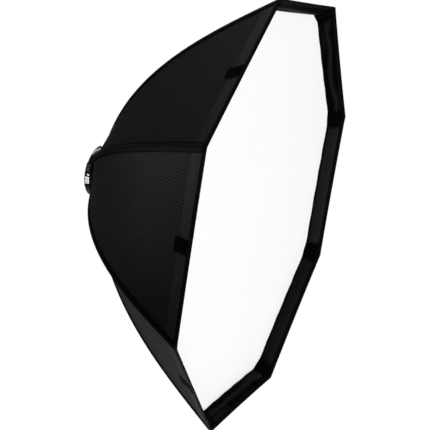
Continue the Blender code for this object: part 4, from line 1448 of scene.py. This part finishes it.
@dataclass
class RearMount:
    """Collar, liner, clamp band, lever and elastic cuff behind the cloth."""

    finish: Finishes
    facets: int = 144
    edge: float = 0.9 * MM
    collar_edge: float = 0.5 * MM
    liner_edge: float = 0.8 * MM
    flange_space: float = 0.6 * MM
    slot_width: float = 1.6 * MM
    slot_pairs: int = 4
    knuckle: float = 2.6 * MM
    knuckle_space: float = 0.6 * MM
    pin_radius: float = 1.0 * MM
    ear: float = 2.2 * MM
    ear_root: float = 3.0 * MM
    ear_setback: float = 0.3 * MM
    ear_cover: float = 1 * MM
    neck_drop: float = 0.5 * MM
    neck_edge: float = 0.4 * MM
    fairing_span: float = math.radians(42)
    lever_span: float = math.radians(50)
    pad_start: float = math.radians(32)
    pad_span: float = math.radians(15)
    pad_edge: float = 0.3 * MM
    pad_ribs: int = 5
    rib_height: float = 0.5 * MM
    rib_slope: float = 0.15 * MM
    mark_start: float = math.radians(200)
    mark_span: float = math.radians(15)
    dash_start: float = math.radians(182)
    dash_span: float = math.radians(3.2)
    mark_height: float = 0.12 * MM
    mark_lift: float = 0.02 * MM
    mark_edge: float = 0.04 * MM
    # Setbacks of the white marks from the lever's rear and front edges.
    block_setbacks: tuple[float, float] = (2.4 * MM, 1.0 * MM)
    dash_setbacks: tuple[float, float] = (5.8 * MM, 0.8 * MM)
    # Points round the elastic cuff and round its section, and its gathers.
    cuff_turns: int = 288
    cuff_rounds: int = 12
    cuff_gathers: int = 72
    cuff_gather: float = 0.07
    cuff_fullness: float = 0.93

    def __post_init__(self) -> None:
        """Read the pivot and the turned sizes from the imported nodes."""
        low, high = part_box("lever_pin")
        middle = (low + high) / 2
        self.hinge = Vector((middle.x, 0.0, middle.z))
        self.hinge_angle = math.atan2(middle.z, middle.x) % (2 * math.pi)
        self.band = Turned.of("clamp_band", self.hinge_angle)
        self.lever = Turned.of("clamp_lever", self.hinge_angle)
        self.pad = Turned.of("lever_pad")

    def build(self) -> None:
        """Build the turned pieces and dress the nodes that stay."""
        self._collar()
        self._liner()
        self._band()
        self._lever()
        self._pad()
        self._marks()
        self._cuff()
        self._dress()

    def _at(self, forward: float) -> Vector:
        """Place on the hinge at a distance forward."""
        return self.hinge + Vector((0, -forward, 0))

    def _on_hinge(self, piece: Object, forward: float, radius: float, depth: float, way: Joining) -> None:
        """Join a round bar on the hinge to a piece, or cut it out.

        Args:
            piece: piece that is changed.
            forward: distance forward of the bar's middle.
            radius: its radius.
            depth: its length.
            way: how it changes the piece.
        """
        Bench.combine(piece, Bench.bar("hinge_bar", self._at(forward), radius, depth), way)

    def _collar(self) -> None:
        """Turn the collar: a sleeve with a flange, slotted at its rear end."""
        whole = Turned.of("mount_collar")
        outside = self.band.inside - GAP
        start, end = self.band.front + self.flange_space, Turned.of("ring_body").rear - GAP
        collar = Bench.section("mount_collar_body", Turned(whole.inside, outside, whole.rear, whole.front))
        for forward in (start, end):
            bpy.ops.mesh.select_all(action="SELECT")
            bpy.ops.mesh.bisect(plane_co=(0, -forward, 0), plane_no=(0, 1, 0))
        Bench.pick(collar, Part.EDGE, lambda p: p.x > outside - NEAR and start < -p.y < end)
        bpy.ops.mesh.extrude_region_move(TRANSFORM_OT_translate={"value": (whole.outside - outside, 0, 0)})
        Bench.pick(collar, Part.POINT,
                   lambda p: p.x > outside + NEAR or not NEAR < -p.y < whole.front - NEAR)
        bpy.ops.mesh.bevel(offset=self.collar_edge, segments=4, affect="VERTICES")
        Bench.spin(self.facets)
        for number in range(self.slot_pairs):
            turn = math.pi * (number + 0.5) / self.slot_pairs
            size = (4 * outside, 2 * self.band.front, self.slot_width)
            cut = Bench.block("slot_cut", Vector((0, 0, 0)), turn, size)
            Bench.combine(collar, cut, Joining.DIFFERENCE)
        Bench.finish(collar, self.finish.gloss)
        settle(collar, Body.MOUNT, Slot.METAL, "mount_collar")

    def _liner(self) -> None:
        """Turn the rubber liner with rounded ends."""
        liner = Bench.turn("rubber_liner", Turned.of("collar_liner"), self.liner_edge, self.facets)
        Bench.finish(liner, self.finish.rubber)
        settle(liner, Body.MOUNT, Slot.LINER, "collar_liner")

    def _band(self) -> None:
        """Turn the open clamp band and give it two ears for the pin."""
        near = 2 * self.pin_radius / self.band.outside
        far = (self.knuckle + self.knuckle_space) / self.band.inside
        band = Bench.turn("clamp_band_body", self.band, self.edge, self.facets, self.hinge_angle + near,
                          2 * math.pi - near - far)
        depth = self.band.front - self.band.rear - 2 * (self.ear_setback + self.ear)
        middle = (self.band.rear + self.band.front) / 2
        self._on_hinge(band, middle, self.knuckle + self.knuckle_space, depth, Joining.DIFFERENCE)
        for forward in (self.band.rear + self.ear_setback + self.ear / 2,
                        self.band.front - self.ear_setback - self.ear / 2):
            Bench.combine(band, self._ear(forward), Joining.UNION)
        Bench.combine(band, self._fairing(), Joining.UNION)
        self._on_hinge(band, middle, self.pin_radius + GAP, 2 * self.band.front, Joining.DIFFERENCE)
        Bench.finish(band, self.finish.gloss)
        settle(band, Body.MOUNT, Slot.METAL, "clamp_band")

    def _ear(self, forward: float) -> Object:
        """Model one ear: a rounded end round the pin on a root that runs into the band.

        Args:
            forward: distance forward of its middle.

        Returns:
            The ear.
        """
        ear = Bench.bar("ear", self._at(forward), self.knuckle, self.ear)
        turn = self.hinge_angle + self.ear_root / 2 / self.band.outside
        height = self.hinge.length + self.ear_cover - (self.band.inside + self.band.outside) / 2
        radius = self.hinge.length + self.ear_cover - height / 2
        place = Vector((radius * math.cos(turn), -forward, radius * math.sin(turn)))
        root = Bench.block("ear_root", place, turn, (height, self.ear * 0.98, self.ear_root))
        Bench.combine(ear, root, Joining.UNION)
        return ear

    def _fairing(self) -> Object:
        """Model the swelling that runs from the lever's height down into the band beyond the pin.

        Returns:
            The swelling.
        """
        start = self.hinge_angle + (self.knuckle + self.knuckle_space + GAP) / self.hinge.length
        thick = Turned(self.band.inside + GAP, self.lever.outside,
                       self.band.rear + GAP, self.band.front - GAP)
        fairing = Bench.turn("fairing", thick, self.edge, 24, start, self.fairing_span)
        offset = (self.lever.outside - self.band.outside) / (1 - math.cos(self.fairing_span))
        middle = (thick.rear + thick.front) / 2
        place = Vector((offset * math.cos(start), -middle, offset * math.sin(start)))
        tapered = Bench.bar("taper", place, self.lever.outside - GAP - offset, 2 * thick.front, 160)
        Bench.combine(fairing, tapered, Joining.INTERSECT)
        return fairing

    def _lever(self) -> None:
        """Turn the lever's blade and join its neck and knuckle."""
        neck = (self.knuckle + 2 * self.knuckle_space) / self.lever.inside
        blade = Bench.turn("clamp_lever_blade", self.lever, self.edge, 48, self.hinge_angle - neck,
                           neck - self.lever_span)
        inset = self.ear_setback + self.ear + GAP
        narrow = Turned(self.lever.inside, self.lever.outside - self.neck_drop,
                        self.lever.rear + inset, self.lever.front - inset)
        neck_piece = Bench.turn("neck", narrow, self.neck_edge, 12, self.hinge_angle, -1.5 * neck)
        Bench.combine(blade, neck_piece, Joining.UNION)
        middle = (self.lever.rear + self.lever.front) / 2
        self._on_hinge(blade, middle, self.knuckle, narrow.front - narrow.rear, Joining.UNION)
        self._on_hinge(blade, middle, self.pin_radius + GAP, 2 * self.lever.front, Joining.DIFFERENCE)
        Bench.finish(blade, self.finish.gloss)
        settle(blade, Body.LEVER, Slot.LEVER, "clamp_lever")

    def _pad(self) -> None:
        """Turn the grip pad and raise its ribs."""
        low = Turned(self.pad.inside, self.pad.outside - self.rib_height, self.pad.rear, self.pad.front)
        steps = 4 * self.pad_ribs
        start = self.hinge_angle - self.pad_start
        pad = Bench.turn("grip_pad", low, self.pad_edge, steps, start, -self.pad_span)
        bpy.ops.object.mode_set(mode="EDIT")

        def on_rib(spot: Vector) -> bool:
            """Tell whether a face's middle lies on the outside of a rib."""
            turn = (start - math.atan2(spot.z, spot.x)) % (2 * math.pi) / self.pad_span * steps
            return math.hypot(spot.x, spot.z) > low.outside - NEAR / 2 and int(turn) % 4 in (1, 2)

        Bench.pick(pad, Part.FACE, on_rib)
        bpy.ops.mesh.inset(thickness=self.rib_slope, depth=self.rib_height)
        bpy.ops.object.mode_set(mode="OBJECT")
        Bench.finish(pad, self.finish.grip, math.radians(25))
        settle(pad, Body.LEVER, Slot.GRIP, "lever_pad")

    def _marks(self) -> None:
        """Print a plain white index block and a dash beside it on the lever."""
        low = self.lever.outside + self.mark_lift
        for name, (rear, front), start, span in (
                ("index_block", self.block_setbacks, self.mark_start, self.mark_span),
                ("index_dash", self.dash_setbacks, self.dash_start, self.dash_span)):
            size = Turned(low, low + self.mark_height, self.lever.rear + rear, self.lever.front - front)
            mark = Bench.turn(name, size, self.mark_edge, 16, start, -span)
            Bench.finish(mark, self.finish.ink)
            settle(mark, Body.LEVER, Slot.GRIP)

    def _cuff(self) -> None:
        """Roll the elastic cuff at the cloth's rear opening, with small gathers round it."""
        low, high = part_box("rear_hem")
        bead = (high.y - low.y) / 2
        radius, forward = high.x - bead, -(low.y + high.y) / 2
        turns = np.arange(self.cuff_turns) * 2 * math.pi / self.cuff_turns
        rounds = np.arange(self.cuff_rounds) * 2 * math.pi / self.cuff_rounds
        swell = bead * (self.cuff_fullness + self.cuff_gather * np.cos(self.cuff_gathers * turns))[:, None]
        out = radius + swell * np.cos(rounds)[None, :]
        way = -forward + swell * np.sin(rounds)[None, :]
        points = np.stack([out * np.cos(turns)[:, None], way, out * np.sin(turns)[:, None]], -1)
        uv = pair((turns * radius)[:, None], (rounds * bead)[None, :])
        faces = ring_faces(self.cuff_turns, self.cuff_rounds)
        cuff = new_mesh("elastic_cuff", points.reshape(-1, 3), faces, (self.finish.binding,),
                        uvs=uv.reshape(-1, 2))
        settle(cuff, Body.SOFTBOX, Slot.CLOTH, "rear_hem")

    def _dress(self) -> None:
        """Give the rigid nodes that stay their materials."""
        finish = self.finish
        dress = {"ring_body": finish.anodised, "lever_pin": finish.steel, "retaining_ring": finish.steel}
        dress |= {f"rod_{number + 1}": finish.fibreglass for number in range(SIDES)}
        for name, material in dress.items():
            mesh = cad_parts[name].data
            mesh.materials.clear()
            mesh.materials.append(material)
            log.info("node %s takes %s", name, material.name)


@dataclass(frozen=True)
class Lamp:
    """A soft rectangular lamp, its beam narrowed where only one panel is lit."""

    name: str
    place: tuple[float, float, float]
    size: tuple[float, float]
    watts: float
    aim: tuple[float, float, float] = (0.0, -0.2, 0.0)
    spread: float = math.pi

    def build(self) -> None:
        """Hang the lamp so that it faces its aim."""
        data = bpy.data.lights.new(self.name, "AREA")
        data.shape = "RECTANGLE"
        data.size, data.size_y = self.size
        data.energy = self.watts
        data.spread = self.spread
        lamp = bpy.data.objects.new(self.name, data)
        bpy.context.scene.collection.objects.link(lamp)
        lamp.location = self.place
        lamp.visible_camera = False
        lamp.rotation_mode = "QUATERNION"
        lamp.rotation_quaternion = (Vector(self.aim) - Vector(self.place)).to_track_quat("-Z", "Y")


@dataclass
class Studio:
    """White room, soft lamps and the camera."""

    place: Vector = field(default_factory=lambda: Vector((-1.8262, -0.9868, 0.4153)))
    aim: Vector = field(default_factory=lambda: Vector((0.0839, -0.2518, -0.0552)))
    roll: float = math.radians(8.777)
    lens: float = 81.3
    sensor: float = 36.0
    floor_size: float = 60
    floor_drop: float = 1.7
    floor_colour: str = "#f2f2f2"
    floor_roughness: float = 0.9
    # Distances over which the floor's shadow fades, and how white it is where the shadow is full.
    fade_start: float = 0.3
    fade_end: float = 1.2
    fade_share: float = 0.6
    room_light: float = 0.1
    gloss_light: float = 0.05
    lamps: tuple[Lamp, ...] = (
        Lamp("left_lamp", (-1.2, 0.0, -0.85), (0.25, 0.25), 1.36, (-0.36, -0.25, 0.34), math.radians(26)),
        Lamp("low_lamp", (-0.2, -0.3, -1.3), (0.4, 0.4), 0.95, (-0.26, -0.36, -0.34), math.radians(30)),
        Lamp("high_lamp", (-0.5, -0.3, 0.9), (0.4, 0.4), 1.7),
        Lamp("strip_lamp", (0.36, 0.98, 1.6), (1.3, 0.14), 11.0),
        Lamp("ring_lamp", (-1.4, -0.05, -0.5), (0.25, 0.25), 0.22, (-0.08, -0.02, -0.05), math.radians(20)),
        Lamp("right_lamp", (1.45, 0.3, 0.2), (1.0, 1.0), 20.0),
        Lamp("front_lamp", (-0.5, -4.5, 0.1), (2.4, 2.4), 154.0),
    )

    def build(self) -> None:
        """Set the camera, the lamps, the floor and the world."""
        bpy.context.scene.view_settings.view_transform = "Standard"
        self._camera()
        self._floor()
        self._world()
        for lamp in self.lamps:
            lamp.build()

    def _camera(self) -> None:
        """Place the camera as the photograph's, turned about its view."""
        data = bpy.data.cameras.new("camera")
        data.lens = self.lens
        data.sensor_width = self.sensor
        camera = bpy.data.objects.new("camera", data)
        bpy.context.scene.collection.objects.link(camera)
        camera.location = self.place
        camera.rotation_mode = "QUATERNION"
        back = (self.place - self.aim).normalized()
        camera.rotation_quaternion = Quaternion(back, self.roll) @ back.to_track_quat("Z", "Y")
        bpy.context.scene.camera = camera

    def _floor(self) -> None:
        """Add a pale floor below the softbox that keeps its shadow and fades to white further out."""
        bpy.ops.object.select_all(action="DESELECT")
        bpy.ops.mesh.primitive_plane_add(size=self.floor_size, location=(0, 0, -self.floor_drop))
        floor = bpy.context.object
        floor.name = "studio_floor"
        bpy.ops.object.transform_apply(location=True)
        paint, tree, shader = new_material("white_floor_paint", 0.5)
        shader.inputs["Base Color"].default_value = linear(self.floor_colour)
        shader.inputs["Roughness"].default_value = self.floor_roughness
        glow = add_node(tree, "ShaderNodeEmission", {"Color": (1, 1, 1, 1), "Strength": 1.0})
        solid = add_node(tree, "ShaderNodeTexCoord").outputs["Object"]
        flat = add_node(tree, "ShaderNodeVectorMath", {"operation": "MULTIPLY", 1: (1, 1, 0)}, {0: solid})
        far = add_node(tree, "ShaderNodeVectorMath", {"operation": "LENGTH"}, {0: flat.outputs[0]})
        fade = add_node(tree, "ShaderNodeMapRange", {"From Min": self.fade_start, "From Max": self.fade_end,
                                                     "To Min": self.fade_share, "To Max": 1.0},
                        {0: far.outputs["Value"]}).outputs[0]
        share = add_node(tree, "ShaderNodeMath", {"operation": "MULTIPLY"}, {0: fade, 1: self._seen(tree)})
        mix = add_node(tree, "ShaderNodeMixShader",
                       links={0: share.outputs[0], 1: shader.outputs[0], 2: glow.outputs[0]})
        tree.links.new(mix.outputs[0], tree.nodes["Material Output"].inputs["Surface"])
        floor.data.materials.append(paint)

    def _seen(self, tree: Tree) -> Socket:
        """Find the rays that show the backdrop to the eye, straight, through or in gloss.

        Args:
            tree: node tree that takes the nodes.

        Returns:
            Share of the white backdrop: 1 straight or through, less in gloss.
        """
        rays = add_node(tree, "ShaderNodeLightPath").outputs
        seen = add_node(tree, "ShaderNodeMath", {"operation": "MAXIMUM"},
                        {0: rays["Is Camera Ray"], 1: rays["Is Transmission Ray"]}).outputs[0]
        gloss = add_node(tree, "ShaderNodeMath", {"operation": "MULTIPLY", 1: self.gloss_light},
                         {0: rays["Is Glossy Ray"]}).outputs[0]
        return add_node(tree, "ShaderNodeMath", {"operation": "MAXIMUM"}, {0: seen, 1: gloss}).outputs[0]

    def _world(self) -> None:
        """Fill the room with even light, white to the camera and dim in the gloss of black pieces."""
        world = bpy.data.worlds.new("white_room")
        bpy.context.scene.world = world
        world.use_nodes = True
        tree = world.node_tree
        back = tree.nodes["Background"]
        back.inputs["Color"].default_value = (1, 1, 1, 1)
        back.inputs["Strength"].default_value = self.room_light
        show = add_node(tree, "ShaderNodeBackground", {"Color": (1, 1, 1, 1), "Strength": 1.0})
        mix = add_node(tree, "ShaderNodeMixShader",
                       links={0: self._seen(tree), 1: back.outputs[0], 2: show.outputs[0]})
        tree.links.new(mix.outputs[0], tree.nodes["World Output"].inputs["Surface"])


def main() -> None:
    """Build the softbox piece by piece and set it in the studio."""
    logging.basicConfig(level=logging.INFO, format="%(message)s")
    bpy.ops.object.select_all(action="DESELECT")
    finish = Finishes()
    form = ShellForm.from_frame()
    ClothShell(form, finish).build()
    FrontLip(form, finish).build()
    Diffusers(form, finish).build()
    RearMount(finish).build()
    Studio().build()


if __name__ == "__main__":
    main()
